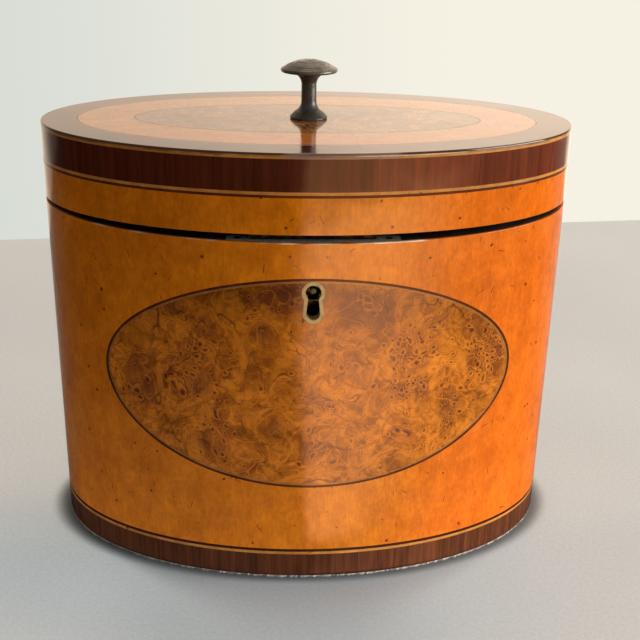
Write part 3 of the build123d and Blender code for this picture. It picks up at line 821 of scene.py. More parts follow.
# Middle, half size, lean, depth of the stain and share of the eyes, as seen on the front's sheet
BURR_CLUSTERS = (
    ((0.0141, 0.0835), (0.0095, 0.0056), -0.2, 0.90, 0.35),
    ((0.0268, 0.0709), (0.0070, 0.0080), 0.0, 0.40, 0.90),
    ((0.0500, 0.0670), (0.0062, 0.0098), 0.35, 0.50, 1.00),
    ((0.0401, 0.0517), (0.0036, 0.0076), -0.1, 0.60, 0.75),
    ((0.0025, 0.0567), (0.0042, 0.0028), 0.0, 0.65, 0.45),
    ((0.0009, 0.0413), (0.0038, 0.0030), 0.0, 0.70, 0.50),
    ((-0.0070, 0.0866), (0.0125, 0.0042), 0.05, 0.85, 0.25),
    ((-0.0330, 0.0640), (0.0070, 0.0085), 0.2, 0.60, 0.45),
    ((-0.0265, 0.0439), (0.0058, 0.0064), 0.0, 0.50, 0.60),
    ((-0.0480, 0.0600), (0.0050, 0.0090), 0.0, 0.55, 0.50),
)
# Middle, half size, lean and depth of the stain
BURR_BOWLS = (
    ((-0.0283, 0.0776), (0.0040, 0.0042), 0.0, 0.45),
    ((-0.0370, 0.0825), (0.0042, 0.0042), 0.0, 0.40),
    ((-0.0128, 0.0754), (0.0038, 0.0034), 0.0, 0.30),
    ((0.0123, 0.0653), (0.0042, 0.0044), 0.0, 0.35),
    ((0.0222, 0.0583), (0.0064, 0.0036), 0.5, 0.40),
    ((-0.0104, 0.0495), (0.0038, 0.0038), 0.0, 0.35),
    ((0.0261, 0.0467), (0.0056, 0.0056), 0.0, 0.12),
)
BURR_SHADE = (0.066, 0.091, 1.0, 0.55)


def make_cross_figure():
    """Crossbanding: short sheets side by side, with their grain across the band."""
    given, result = new_group(
        "cross_figure",
        {"Vector": None, "Light": (0.2, 0.05, 0.03), "Deep": (0.03, 0.008, 0.005), "Sheet": 34.0,
         "Variety": 0.85},
        ["Color", "Height"],
    )
    across, up, _ = given["Vector"].parts()
    along = across * given["Sheet"] + FIRST_SHEET
    number = along.calc("FLOOR")
    tone = put(number.tree, "TexWhiteNoise", {"W": number}, noise_dimensions="1D")
    rest = along.calc("FRACT")
    joint = rest.calc("MINIMUM", 1.0 - rest).step(0.006, 0.002)
    moved = across.into("CombineXYZ", {1: up, 2: number})
    broad = moved.placed((520.0, 24.0, 1.7)).clouds(detail=3.0, roughness=0.6)
    fine = moved.placed((3100.0, 90.0, 1.7)).clouds(detail=3.0, roughness=0.7)
    mix = broad.step(0.32, 0.70, 0.0, 0.62) + fine.step(0.38, 0.68, 0.0, 0.38)
    off = (flows(tone)["Value"] - 0.5) * given["Variety"]
    body = blend(mix, given["Deep"], given["Light"]).shaded(off + 0.975)
    feed(result, {"Color": body.under(JOINT_TINT, joint * 0.6), "Height": fine - joint})


FIRST_SHEET = 1301.52
JOINT_TINT = (0.012, 0.006, 0.004)


def make_polish():
    """Old shellac: faint hollows, fine rubbing marks and a few duller patches."""
    given, result = new_group(
        "polish", {"Vector": None, "Gloss": 0.15, "Rubbing": 0.05}, ["Roughness", "Height"]
    )
    vector, amount = given["Vector"], given["Rubbing"]
    patches = vector.clouds(130.0, detail=4.0, roughness=0.65)
    rubbing = vector.placed((5200.0, 380.0, 900.0), (0.3, 0.2, 0.9)).clouds()
    dull = patches.step(0.45, 0.75) * amount + rubbing.step(0.55, 0.8) * amount
    feed(result, {"Roughness": given["Gloss"] + dull, "Height": vector.clouds(55.0, roughness=0.4)})


def make_patina():
    """Old metal: dark patina in clouds, with rubbed bright places and small pits."""
    given, result = new_group(
        "patina",
        {"Vector": None, "Bright": (0.6, 0.45, 0.2), "Dark": (0.2, 0.15, 0.08), "Scale": 600.0,
         "Tarnish": 0.5},
        ["Color", "Roughness", "Height"],
    )
    vector, limit = given["Vector"], given["Tarnish"]
    tarnish = vector.clouds(given["Scale"], detail=4.0, roughness=0.65)
    bright = tarnish.step(limit - TARNISH_EASE, limit + TARNISH_EASE)
    pitted = vector.clouds(4200.0).step(0.62, 0.72)
    body = blend(bright, given["Dark"], given["Bright"]).under(given["Dark"], pitted * 0.5)
    rough = bright.step(0.0, 1.0, 0.48, 0.26)
    feed(result, {"Color": body, "Roughness": rough, "Height": tarnish * 0.3 - pitted})


TARNISH_EASE = 0.14


def make_wear_and_highlight():
    """Worn places and painted highlights along an arris: a mask that is full at a height and frays
    out below it.
    """
    given, result = new_group(
        "arris_wear_and_highlight", {"Vector": None, "Depth": 0.0, "Width": 0.0006, "Amount": 0.5}, ["Mask"]
    )
    fray = given["Vector"].clouds(900.0, detail=4.0, roughness=0.7)
    near = (given["Depth"] / (fray * (given["Width"] * 2.0))).step(1.0, 0.6)
    shown = given["Vector"].clouds(90.0).step(0.75 - given["Amount"], 0.75)
    feed(result, {"Mask": near * shown})


# Materials


def start_material(name):
    """A new material; gives its shader and the coordinates of the piece that wears it."""
    material = bpy.data.materials.new(name)
    material.use_nodes = True
    MATERIALS[name] = material
    tree = material.node_tree
    return tree.nodes["Principled BSDF"], flows(put(tree, "TexCoord"))["Object"]


def worn(body, vector, marks):
    """A wood's colour with worn places and painted highlights along arrises: where, how wide, from
    and to along the band, how strong, colour.
    """
    along, up, _ = vector.parts()
    for place, width, start, end, amount, tint in marks:
        wear_and_highlight = vector.group("arris_wear_and_highlight", Depth=abs(up - place), Width=width, Amount=amount)
        within = along.step(start - WEAR_AND_HIGHLIGHT_EASE, start) * along.step(end, end + WEAR_AND_HIGHLIGHT_EASE, 1.0, 0.0)
        body = body.under(tint, wear_and_highlight["Mask"] * within)
    return body


def wood(name, figure, colours, gloss=0.2, rubbing=0.08, turn=0.0, sheen=(1.0, 1.0, 1.0),
         hollows=0.25, marks=()):
    """A wood with one of the figures under a polish; its sheen may be tinted."""
    shader, place = start_material(name)
    flat = Flow(put(place.tree, "UVMap", uv_map=SHEET_MAP).outputs[0])
    vector = flat.placed(turn=(0.0, 0.0, turn)) if turn else flat
    drawn = vector.group(figure, **colours)
    polish = place.group("polish", Gloss=gloss, Rubbing=rubbing)
    grain = drawn["Height"].relief(hollows * GRAIN_SHARE, GRAIN_DEPTH)
    feed(shader, {
        "Base Color": worn(drawn["Color"], flat, marks), "Roughness": polish["Roughness"],
        "Normal": polish["Height"].relief(hollows, HOLLOW_DEPTH, Normal=grain), "IOR": SHELLAC,
        "Specular Tint": sheen,
    })


def metal(name, bright, dark, scale, tarnish, metallic=1.0, bump=0.25, shade=None):
    """An old metal, with painted shade below a height where one is given."""
    shader, place = start_material(name)
    patina = place.group("patina", Bright=bright, Dark=dark, Scale=scale, Tarnish=tarnish)
    body = patina["Color"]
    if shade:
        body = body.shaded(place.parts()[2].step(*shade))
    feed(shader, {"Base Color": body, "Roughness": patina["Roughness"], "Metallic": metallic,
                  "Normal": patina["Height"].relief(bump, PATINA_DEPTH)})


def plain_stuff(name, light, deep, scale, roughness, stretch=(1.0, 1.0, 1.0), bump=0.3,
                depth=0.0002, metallic=0.0):
    """Unpolished wood, paper, foil or cloth: two colours in fine clouds, with a soft relief."""
    shader, place = start_material(name)
    vector = place.placed(stretch)
    coarse = vector.clouds(scale / 8, detail=3.0, roughness=0.6)
    fine = vector.clouds(scale, detail=4.0, roughness=0.7)
    tone = coarse.step(0.35, 0.65, 0.0, 0.5) + fine.step(0.35, 0.65, 0.0, 0.5)
    rough = coarse.step(0.3, 0.7, roughness - ROUGH_EASE, roughness + ROUGH_EASE)
    feed(shader, {"Base Color": blend(tone, deep, light), "Roughness": rough, "Metallic": metallic,
                  "Normal": fine.relief(bump, depth)})


SHEET_MAP = "sheet"
SHELLAC = 1.52
BURR_SHEEN = (0.86, 0.86, 1.0)
EBONY_SHEEN = (0.35, 0.35, 0.35)
TOP_SHEEN = (0.94, 0.80, 0.70)
TOP_HOLLOWS = 0.08
GRAIN_SHARE = 0.24
GRAIN_DEPTH = 0.0001
HOLLOW_DEPTH = 0.0012
PATINA_DEPTH = 0.00012
ROUGH_EASE = 0.06
FOOT_VARIETY = 0.22
SIDE_VARIETY = 0.58
# Painted shade: the knob's stem and foot are darkened below the cap
STEM_PAINTED_SHADE = (0.1345, 0.1362, 0.52, 1.0)
WEAR_AND_HIGHLIGHT_EASE = 0.003
EVEN = (1.0, 1.0, 1.0)
DRAWN_OUT = (0.06, 1.0, 1.0)

# Bright and dark colour, scale, tarnish, and where given metallic share, bump and painted shade
# below a height
METALS = {
    "old_brass": ((0.62, 0.50, 0.27), (0.42, 0.33, 0.17), 500.0, 0.44, 0.6),
    "dull_brass": ((0.38, 0.285, 0.13), (0.26, 0.195, 0.09), 900.0, 0.44, 0.0),
    "lock_brass": ((0.40, 0.42, 0.33), (0.22, 0.23, 0.18), 500.0, 0.48, 0.3),
    "black_brass": ((0.05, 0.04, 0.025), (0.012, 0.010, 0.007), 500.0, 0.55),
    "dark_bronze": ((0.115, 0.103, 0.082), (0.072, 0.063, 0.050), 300.0, 0.5, 0.35, 0.3,
                    STEM_PAINTED_SHADE),
    "iron": ((0.26, 0.25, 0.24), (0.07, 0.05, 0.04), 900.0, 0.5),
    "dull_iron": ((0.040, 0.060, 0.058), (0.012, 0.014, 0.013), 900.0, 0.5),
}
# Light and deep colour, scale, roughness, and where given stretch, bump, depth, metallic share
STUFFS = {
    "ebonised_wood": ((0.022, 0.018, 0.014), (0.008, 0.006, 0.005), 900.0, 0.42),
    "pine": ((0.50, 0.30, 0.13), (0.30, 0.16, 0.06), 900.0, 0.62, DRAWN_OUT),
    "mahogany": ((0.20, 0.065, 0.025), (0.08, 0.024, 0.010), 1400.0, 0.5, DRAWN_OUT),
    "tin_foil": ((0.52, 0.51, 0.48), (0.30, 0.29, 0.27), 160.0, 0.42, EVEN, 0.5, 0.0008, 1.0),
    "lining_paper": ((0.50, 0.40, 0.30), (0.34, 0.25, 0.18), 700.0, 0.85),
    "baize": ((0.84, 0.71, 0.61), (0.28, 0.25, 0.21), 2400.0, 0.95, EVEN, 0.8, 0.0003),
}


class TEACADDY_OT_materials(bpy.types.Operator):
    """Mixes the woods, metals, paper and cloth"""

    bl_idname = "teacaddy.materials"
    bl_label = "Materials"

    def execute(self, context):
        for make in (make_flecks, make_satin_figure, make_burr_figure, make_cross_figure,
                     make_polish, make_patina, make_wear_and_highlight):
            make()
        woods, caddy, lid = context.scene.woods, context.scene.caddy, context.scene.lid

        def tints(kind, **others):
            pair = {"Light": kind + "_light", "Deep": kind + "_deep"}
            return {key: getattr(woods, name) for key, name in {**pair, **others}.items()}

        cross = tints("cross")
        satin = tints("satin", Fleck="fleck")
        top_burr = tints("top_burr", Eye="burr_cluster", Cluster="top_burr_deep")
        rim = caddy.body_height
        edge = rim + lid.height - lid.top_veneer
        around = caddy.half_width * 4
        # Painted highlights along the arris of the body's rim
        body_rim_highlights = ((rim, 0.0003, 0.0165, 0.0275, 0.75, woods.painted_arris_highlight),
                      (rim, 0.0002, -0.0600, 0.0165, 0.32, woods.painted_arris_highlight))
        edge_marks_and_highlights = ((edge, 0.0014, -0.0060, 0.0200, 0.95, woods.worn_grey),
                      # The next mark is a painted highlight along the edge line's arris
                      (edge, 0.0004, 0.0120, 0.0380, 0.55, woods.painted_arris_highlight),
                      (edge, 0.0005, -around, around, 0.40, woods.dark_arris_line))
        top_marks = ((caddy.half_depth, 0.0009, -around, around, 0.95, woods.dark_arris_line),
                     (caddy.half_depth, 0.0016, -0.0060, 0.0200, 0.75, woods.worn_grey))
        wood("satinwood", "satin_figure", satin, 0.16, 0.05, marks=body_rim_highlights)
        wood("lid_satinwood", "satin_figure", satin, 0.10, 0.04)
        wood("top_satinwood", "satin_figure", tints("top_satin", Fleck="fleck"), 0.10, 0.06,
             turn=pi / 2, hollows=TOP_HOLLOWS)
        wood("burr_wood", "burr_figure", tints("burr", Eye="burr_eye", Cluster="burr_cluster"),
             0.15, 0.05, sheen=BURR_SHEEN)
        wood("top_burr_wood", "burr_figure", top_burr, 0.10, 0.06, hollows=TOP_HOLLOWS)
        foot_cross = {**tints("foot"), "Variety": FOOT_VARIETY}
        wood("crossband_wood", "cross_figure", foot_cross, 0.16, 0.05)
        wood("lid_crossband", "cross_figure", {**cross, "Variety": SIDE_VARIETY}, 0.10, 0.04)
        wood("top_crossband", "cross_figure", cross, 0.10, 0.06, sheen=TOP_SHEEN,
             hollows=TOP_HOLLOWS, marks=top_marks)
        for name, kind, deep, fleck, sheen, marks in (
            ("boxwood", "box_light", "box_deep", "fleck", EVEN, ()),
            ("oval_boxwood", "oval_box_light", "oval_box_deep", "fleck", EVEN, ()),
            ("edge_boxwood", "box_light", "box_deep", "fleck", EVEN, edge_marks_and_highlights),
            ("foot_ebony", "foot_ebony", "foot_ebony", "ebony_deep", EBONY_SHEEN, ()),
            ("ebony", "ebony_light", "ebony_deep", "ebony_deep", EBONY_SHEEN, ()),
        ):
            names = {"Light": kind, "Deep": deep, "Fleck": fleck}
            colours = {key: getattr(woods, value) for key, value in names.items()}
            wood(name, "satin_figure", colours, turn=pi / 2, sheen=sheen, marks=marks)
        for name, values in METALS.items():
            metal(name, *values)
        for name, values in STUFFS.items():
            plain_stuff(name, *values)
        return {"FINISHED"}


class TEACADDY_OT_body_bands(bpy.types.Operator):
    """Wraps the crossband, the two lines and the satinwood round the body"""

    bl_idname = "teacaddy.body_bands"
    bl_label = "Body bands"

    def execute(self, context):
        sizes = context.scene.caddy
        line_foot = low("base_string_box")
        line_head = line_foot + sizes.foot_box_line
        ebony_head = high("base_string_ebony")
        for name, foot, head, foot_round, head_round, finish, node in (
            ("foot_crossband", low("base_crossband"), high("base_crossband"), FOOT_ARRIS, 0.0,
             "crossband_wood", "base_crossband"),
            ("foot_box_line", line_foot, line_head, 0.0, 0.0, "boxwood", "base_string_box"),
            ("foot_ebony_line", line_head, ebony_head, 0.0, 0.0, "foot_ebony", "base_string_ebony"),
            ("body_satinwood", low("body_veneer"), sizes.body_height, 0.0, RIM_ARRIS, "satinwood",
             "body_veneer"),
        ):
            piece = band(name, 0, sizes.veneer, foot, head, foot_round, head_round)
            if node == "body_veneer":
                combine(piece, front_oval_tool(0), "DIFFERENCE")
                cut_hinge_pocket([piece], upwards=False)
            finish_piece(piece, finish, "caddy_body", node)
        return {"FINISHED"}


class TEACADDY_OT_front_oval(bpy.types.Operator):
    """Lets the burr oval and its two lines into the front"""

    bl_idname = "teacaddy.front_oval"
    bl_label = "Front oval"

    def execute(self, context):
        sizes = context.scene.caddy
        box_inset = sizes.ebony_line
        burr_inset = box_inset + sizes.oval_box_line
        for name, inset, next_inset, finish, node in (
            ("oval_ebony_line", 0.0, box_inset, "ebony", "oval_string_ebony"),
            ("oval_box_line", box_inset, burr_inset, "oval_boxwood", "oval_string_box"),
            ("front_burr", burr_inset, None, "burr_wood", "oval_panel"),
        ):
            piece = band(name, 0, sizes.veneer, low("body_veneer"), high("body_veneer"))
            combine(piece, front_oval_tool(inset), "INTERSECT")
            if next_inset:
                combine(piece, front_oval_tool(next_inset), "DIFFERENCE")
            if inset:
                combine(piece, keyhole_tool(0), "DIFFERENCE")
            finish_piece(piece, finish, "caddy_body", node)
        return {"FINISHED"}


class TEACADDY_OT_escutcheon(bpy.types.Operator):
    """Makes the brass escutcheon round the keyhole"""

    bl_idname = "teacaddy.escutcheon"
    bl_label = "Escutcheon"

    def execute(self, context):
        turned = context.scene.turned
        ends = low("body_veneer"), high("body_veneer")
        ring = band("keyhole_escutcheon", 0, turned.escutcheon_depth, *ends)
        combine(ring, keyhole_tool(0), "INTERSECT")
        combine(ring, keyhole_tool(turned.escutcheon_wall), "DIFFERENCE")
        apply_modifier(ring, "BEVEL", width=HARDWARE_BEVEL, segments=2, limit_method="ANGLE",
                       angle_limit=BEVEL_ANGLE)
        finish_piece(ring, "dull_brass", "caddy_body", "escutcheon")
        return {"FINISHED"}


class TEACADDY_OT_baize(bpy.types.Operator):
    """Cuts the baize under the foot, with its ragged edge"""

    bl_idname = "teacaddy.baize"
    bl_label = "Baize"

    def execute(self, context):
        sizes = context.scene.caddy
        start_clean()
        bpy.ops.mesh.primitive_circle_add(vertices=BAIZE_SIDES, radius=1.0, fill_type="NGON")
        piece = name_new("foot_baize")
        edit_all()
        wide, deep = sizes.half_width - BAIZE_INSET, sizes.half_depth - BAIZE_INSET
        bpy.ops.transform.resize(value=(wide, deep, 1.0), center_override=(0, 0, 0))
        bpy.ops.transform.vertex_random(offset=BAIZE_FRAY, uniform=1.0, normal=0.0, seed=BAIZE_SEED)
        bpy.ops.transform.resize(value=(1.0, 1.0, 0.0), center_override=(0, 0, 0))
        thick = {"value": (0, 0, high("base_baize"))}
        bpy.ops.mesh.extrude_region_move(TRANSFORM_OT_translate=thick)
        bpy.ops.object.mode_set(mode="OBJECT")
        clean_faces(piece)
        finish_piece(piece, "baize", "caddy_body", "base_baize")
        return {"FINISHED"}


BAIZE_SIDES = 900
BAIZE_INSET = 0.0003
BAIZE_FRAY = 0.00025
BAIZE_SEED = 7


class TEACADDY_OT_body_inside(bpy.types.Operator):
    """Makes the rim, the ledge and the foil inside the body"""

    bl_idname = "teacaddy.body_inside"
    bl_label = "Body inside"

    def execute(self, context):
        sizes = context.scene.caddy
        outer = sizes.veneer + sizes.glue
        cavity = outer + sizes.wall
        inside = cavity + sizes.glue
        for name, first, last, finish, node in (
            ("body_rim", outer, cavity, "ebonised_wood", "rim_facing"),
            ("ledge", inside, inside + sizes.ledge_width, "mahogany", "inner_ledge"),
            ("foil_wall", inside, inside + sizes.foil, "tin_foil", "foil_lining_wall"),
        ):
            piece = band(name, first, last, low(node), high(node))
            if node == "rim_facing":
                self.let_in_hardware(piece, sizes, outer)
            finish_piece(piece, finish, "caddy_body", node)
        node = "foil_lining_floor"
        floor = sheet_of("foil_floor", inside, low(node), high(node))
        finish_piece(floor, "tin_foil", "caddy_body", node)
        return {"FINISHED"}

    def let_in_hardware(self, rim, sizes, outer):
        """Cuts the room for the hinge and for the lock's top plate out of the rim."""
        cut_hinge_pocket([rim], upwards=False)
        plate = sheet_of("selvedge_tool", outer + SELVEDGE_MARGIN, low("carcase_wall"), FAR)
        plate_low, plate_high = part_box("lock_selvedge")
        across = plate_low.x - sizes.glue, plate_high.x + sizes.glue
        back = -FAR, plate_high.y + sizes.glue
        combine(plate, box_tool("selvedge_room", across, back, (SELVEDGE_FOOT, FAR)), "INTERSECT")
        combine(rim, plate, "DIFFERENCE")


SELVEDGE_MARGIN = 0.00027
SELVEDGE_FOOT = 0.046


class TEACADDY_OT_lid_side(bpy.types.Operator):
    """Wraps the satinwood, the lines and the crossband round the lid's side"""

    bl_idname = "teacaddy.lid_side"
    bl_label = "Lid side"

    def execute(self, context):
        sizes, lid = context.scene.caddy, context.scene.lid
        foot = sizes.body_height
        edge_head = foot + lid.height - lid.top_veneer
        edge_foot = edge_head - lid.edge_string
        ebony_foot = foot + lid.satinwood
        box_foot = ebony_foot + sizes.ebony_line
        for name, head, finish, node in (
            ("lid_satinwood", ebony_foot, "lid_satinwood", "lid_side_veneer"),
            ("lid_ebony_line", box_foot, "ebony", "lid_side_string_ebony"),
            ("lid_box_line", box_foot + lid.box_line, "boxwood", "lid_side_string_box"),
            ("lid_side_crossbanding", edge_foot, "lid_crossband", "lid_side_crossband"),
            ("lid_edge_line", edge_head, "edge_boxwood", "lid_edge_string"),
        ):
            lowest = node == "lid_side_veneer"
            piece = band(name, 0, sizes.veneer, foot, head, RIM_ARRIS if lowest else 0.0)
            if lowest:
                cut_hinge_pocket([piece], upwards=True)
            finish_on_lid(piece, finish, node)
            foot = head
        return {"FINISHED"}


class TEACADDY_OT_lid_top(bpy.types.Operator):
    """Lays the crossband, the lines, the satinwood and the burr oval on the lid's top"""

    bl_idname = "teacaddy.lid_top"
    bl_label = "Lid top"

    def execute(self, context):
        sizes, lid = context.scene.caddy, context.scene.lid
        head = sizes.body_height + lid.height
        foot = head - lid.top_veneer
        line = sizes.top_line
        box_inset = lid.crossband + line
        field_inset = box_inset + line
        outline = sizes.half_width, sizes.half_depth
        burr_outline = lid.burr_half_width, lid.burr_half_depth

        def ring(around, outer, inner, arris=0.0):
            section = band_section(outer, inner, foot, head, head_round=arris)
            return along_outline(section, *around)

        field = along_outline([(field_inset, foot), (field_inset, head)], *outline)
        field += [(*burr_outline, head), (*burr_outline, foot)]
        panel = along_outline([(2 * line, foot), (2 * line, head)], *burr_outline)
        for name, stations, way, finish, node in (
            ("top_crossbanding", ring(outline, 0, lid.crossband, lid.arris), "cross",
             "top_crossband", "lid_top_crossband"),
            ("top_box_line", ring(outline, lid.crossband, box_inset), "cross", "boxwood",
             "lid_top_string_box"),
            ("top_ebony_line", ring(outline, box_inset, field_inset), "cross", "ebony",
             "lid_top_string_ebony"),
            ("top_satinwood", field, "flat", "top_satinwood", "lid_top_satinwood"),
            ("burr_ebony_line", ring(burr_outline, 0, line), "cross", "ebony",
             "lid_burr_string_ebony"),
            ("burr_box_line", ring(burr_outline, line, 2 * line), "cross", "boxwood",
             "lid_burr_string_box"),
            ("top_burr", panel, "flat", "top_burr_wood", "lid_burr_oval"),
        ):
            piece = wrapped(name, stations, capped=stations is panel, way=way)
            finish_on_lid(piece, finish, node)
        return {"FINISHED"}


class TEACADDY_OT_lid_inside(bpy.types.Operator):
    """Makes the lid's black rim, its wall and its lining"""

    bl_idname = "teacaddy.lid_inside"
    bl_label = "Lid inside"

    def execute(self, context):
        sizes, lid = context.scene.caddy, context.scene.lid
        outer = sizes.veneer + sizes.glue
        cavity = outer + sizes.wall
        rim_head = sizes.body_height + lid.rim_facing
        ceiling = sizes.body_height + lid.height - lid.top_veneer - lid.board
        rim = band("lid_rim", outer, cavity, sizes.body_height, rim_head)
        wall = band("lid_wood", outer, cavity, rim_head, ceiling)
        cut_hinge_pocket([rim, wall], upwards=True)
        lining = sheet_of("lid_paper", cavity + sizes.glue, ceiling - lid.lining, ceiling)
        start_clean()
        bpy.ops.mesh.primitive_cylinder_add(
            vertices=TURNED_SIDES, radius=LINING_HOLE, depth=FAR, location=(0, 0, ceiling)
        )
        combine(lining, name_new("washer_tool"), "DIFFERENCE")
        finish_on_lid(rim, "ebonised_wood", "lid_rim_facing")
        finish_on_lid(wall, "pine", "lid_wall")
        finish_on_lid(lining, "lining_paper", "lid_lining")
        return {"FINISHED"}


LINING_HOLE = 0.00453


def turned_piece(name, outline, foot):
    """A turned piece from its half section, which ends in the middle of its crown."""
    stations = [(radius, radius, foot + height) for radius, height in outline]
    return wrapped(name, stations, sides=TURNED_SIDES, capped=True)


def dome_line(edge, foot, rise):
    """Places on a dome from near its edge to near its crown, with the grooves turned in it."""
    places = []
    sphere = (edge**2 + rise**2) / (2 * rise)
    for step in range(1, DOME_STEPS):
        turn = asin(edge / sphere) * (1 - step / DOME_STEPS)
        radius = sphere * sin(turn)
        depths = (1 - abs(radius - place) / GROOVE_WIDTH for place in GROOVE_PLACES)
        groove = GROOVE_DEPTH * sum(max(0.0, depth) for depth in depths)
        places.append((radius, foot + rise - sphere * (1 - cos(turn)) - groove))
    return places


class TEACADDY_OT_knob(bpy.types.Operator):
    """Turns the bronze knob of the lid"""

    bl_idname = "teacaddy.knob"
    bl_label = "Knob"

    def execute(self, context):
        sizes, lid, turned = context.scene.caddy, context.scene.lid, context.scene.turned
        foot_centre = (turned.stem_radius + turned.foot_flare, turned.stem_foot)
        head_centre = (turned.stem_radius + turned.head_flare, turned.stem_head)
        head_arc = arc(head_centre, turned.head_flare, 180, HEAD_FLARE_END)
        lip_foot = head_arc[-1][1] + turned.lip_rise
        lip_head = lip_foot + turned.lip
        half_lip = turned.lip / 2
        edge = turned.cap_radius - half_lip
        outline = [
            (turned.foot_radius - FOOT_EASE, 0.0),
            (turned.foot_radius, FOOT_EASE),
            (turned.foot_radius, turned.foot_height - FOOT_EASE),
            (turned.foot_radius - FOOT_EASE, turned.foot_height),
            *arc(foot_centre, turned.foot_flare, FOOT_FLARE_START, 180),
            *head_arc,
            *arc((edge, lip_foot + half_lip), half_lip, -90, 90, steps=LIP_STEPS),
            *dome_line(edge, lip_head, turned.dome),
            (0.0, lip_head + turned.dome),
        ]
        knob = turned_piece("bronze_knob", outline, sizes.body_height + lid.height)
        finish_on_lid(knob, "dark_bronze", "lid_knob")
        return {"FINISHED"}


HEAD_FLARE_END = 100
FOOT_FLARE_START = 240
LIP_STEPS = 8
DOME_STEPS = 56
GROOVE_DEPTH = 0.0001
GROOVE_WIDTH = 0.00028
GROOVE_PLACES = (0.0016, 0.0041, 0.0066)
FOOT_EASE = 0.00018


class TEACADDY_OT_inner_lid(bpy.types.Operator):
    """Makes the loose inner lid with its turned knob"""

    bl_idname = "teacaddy.inner_lid"
    bl_label = "Inner lid"

    def execute(self, context):
        sizes = context.scene.caddy
        inset = sizes.veneer + sizes.glue + sizes.wall + INNER_LID_CLEARANCE
        for name, node, finish, arris in (
            ("inner_foil", "inner_lid_foil", "tin_foil", 0.0),
            ("inner_board", "inner_lid_board", "mahogany", 0.0),
            ("inner_satinwood", "inner_lid_veneer", "top_satinwood", INNER_LID_ARRIS),
        ):
            piece = sheet_of(name, inset, low(node), high(node), arris, way="flat")
            finish_piece(piece, finish, "inner_lid", node)
        ball_height = INNER_FOOT_HEIGHT + INNER_NECK_HEIGHT + sqrt(INNER_BALL**2 - INNER_NECK**2)
        ball_foot = degrees(asin(INNER_NECK / INNER_BALL)) - 90
        ball = arc((0.0, ball_height), INNER_BALL, ball_foot, 90, steps=2 * ARC_STEPS)
        outline = [
            (INNER_FOOT, 0.0),
            (INNER_FOOT, INNER_FOOT_HEIGHT - FOOT_EASE),
            (INNER_FOOT - FOOT_EASE, INNER_FOOT_HEIGHT),
            (INNER_NECK, INNER_FOOT_HEIGHT),
            *ball[:-1],
            (0.0, ball_height + INNER_BALL),
        ]
        knob = turned_piece("inner_knob", outline, high("inner_lid_veneer"))
        finish_piece(knob, "ebony", "inner_lid", "inner_lid_knob")
        return {"FINISHED"}


INNER_LID_CLEARANCE = 0.0004
INNER_LID_ARRIS = 0.0002
INNER_BALL = 0.0036
INNER_NECK = 0.0019
INNER_FOOT = 0.0032
INNER_FOOT_HEIGHT = 0.001
INNER_NECK_HEIGHT = 0.0022


class TEACADDY_OT_hardware(bpy.types.Operator):
    """Eases the edges of the hinge, the lock and the plate under the lid"""

    bl_idname = "teacaddy.hardware"
    bl_label = "Hinge and lock"

    def execute(self, context):
        for node, body, finish in HARDWARE:
            brass = SLOTS.get(finish, finish) == "old_brass"
            piece = frame_copy(node, node + "_eased", HARDWARE_BEVEL if brass else 0.0)
            finish_piece(piece, finish, body, node)
        for node, finish in PLAIN_NODES:
            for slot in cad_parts[node].material_slots:
                slot.material = MATERIALS[finish]
        return {"FINISHED"}


HARDWARE = (
    ("hinge_leaf_body", "caddy_body", "old_brass"),
    ("hinge_leaf_lid", "lid", "old_brass"),
    ("lock_selvedge", "caddy_body", "lock_brass"),
    ("link_plate", "lid", "black_brass"),
    ("hinge_pin", "caddy_body", "iron"),
    ("hinge_screws_body", "caddy_body", "iron"),
    ("hinge_screws_lid", "lid", "iron"),
    ("lock_screws", "caddy_body", "iron"),
    ("link_plate_screws", "lid", "iron"),
    ("lock_drill_pin", "caddy_body", "dull_iron"),
    ("knob_washer", "lid", "dark_bronze"),
    ("knob_nut", "lid", "dark_bronze"),
)
PLAIN_NODES = (
    ("carcase_wall", "pine"),
    ("base_board", "pine"),
    ("lid_top_board", "pine"),
    ("lock_case", "black_brass"),
    ("lock_cap", "black_brass"),
    ("lock_bolt", "lock_brass"),
    ("lock_spring", "iron"),
)


class StageSettings(bpy.types.PropertyGroup):
    """Where the camera stands and how the caddy is lit."""

    camera_place: bpy.props.FloatVectorProperty(
        name="Camera place", default=(-0.0127, -0.3023, 0.1891),
        description="Where the camera stands",
        subtype="TRANSLATION", precision=5,
    )
    yaw: angle("Yaw", 3.24, "Turn of the camera to the right")
    pitch: angle("Pitch", 22.85, "Tilt of the camera below level")
    roll: angle("Roll", 1.18, "Turn of the camera about its view")
    lens: bpy.props.FloatProperty(
        name="Lens", default=60.17, description="Focal length in millimetres", unit="CAMERA"
    )
    floor_colour: colour("Floor", (0.55, 0.52, 0.48), "Colour of the floor")
    floor_cool: colour("Floor, near", (0.49, 0.55, 0.585), "Colour of the floor by the caddy")
    floor_shown: colour("Floor, evenly lit", (0.68, 0.64, 0.575), "The floor in even light")
    floor_shown_cool: colour(
        "Floor, near and evenly lit", (0.50, 0.52, 0.51), "The floor by the caddy in even light"
    )
    wall_colour: colour("Wall", (0.80, 0.78, 0.72), "Colour of the wall where it throws light")
    wall_cool: colour("Wall, left", (0.66, 0.70, 0.66), "The wall as it is seen on the left")
    wall_shown: colour("Wall, right", (0.92, 0.88, 0.77), "The wall as it is seen on the right")
    wall_mirrored: colour("Wall, mirrored", (0.92, 0.75, 0.58), "The wall as the polish mirrors it")


def pointing(yaw, pitch, roll):
    """The rotation of a camera that looks along Y, turned right, tilted down and rolled."""
    turns = ((-yaw, "Z"), (-pitch, "X"), (pi / 2, "X"), (roll, "Z"))
    rotation = Matrix.Identity(4)
    for angle, axis in turns:
        rotation = rotation @ Matrix.Rotation(angle, 4, axis)
    return rotation


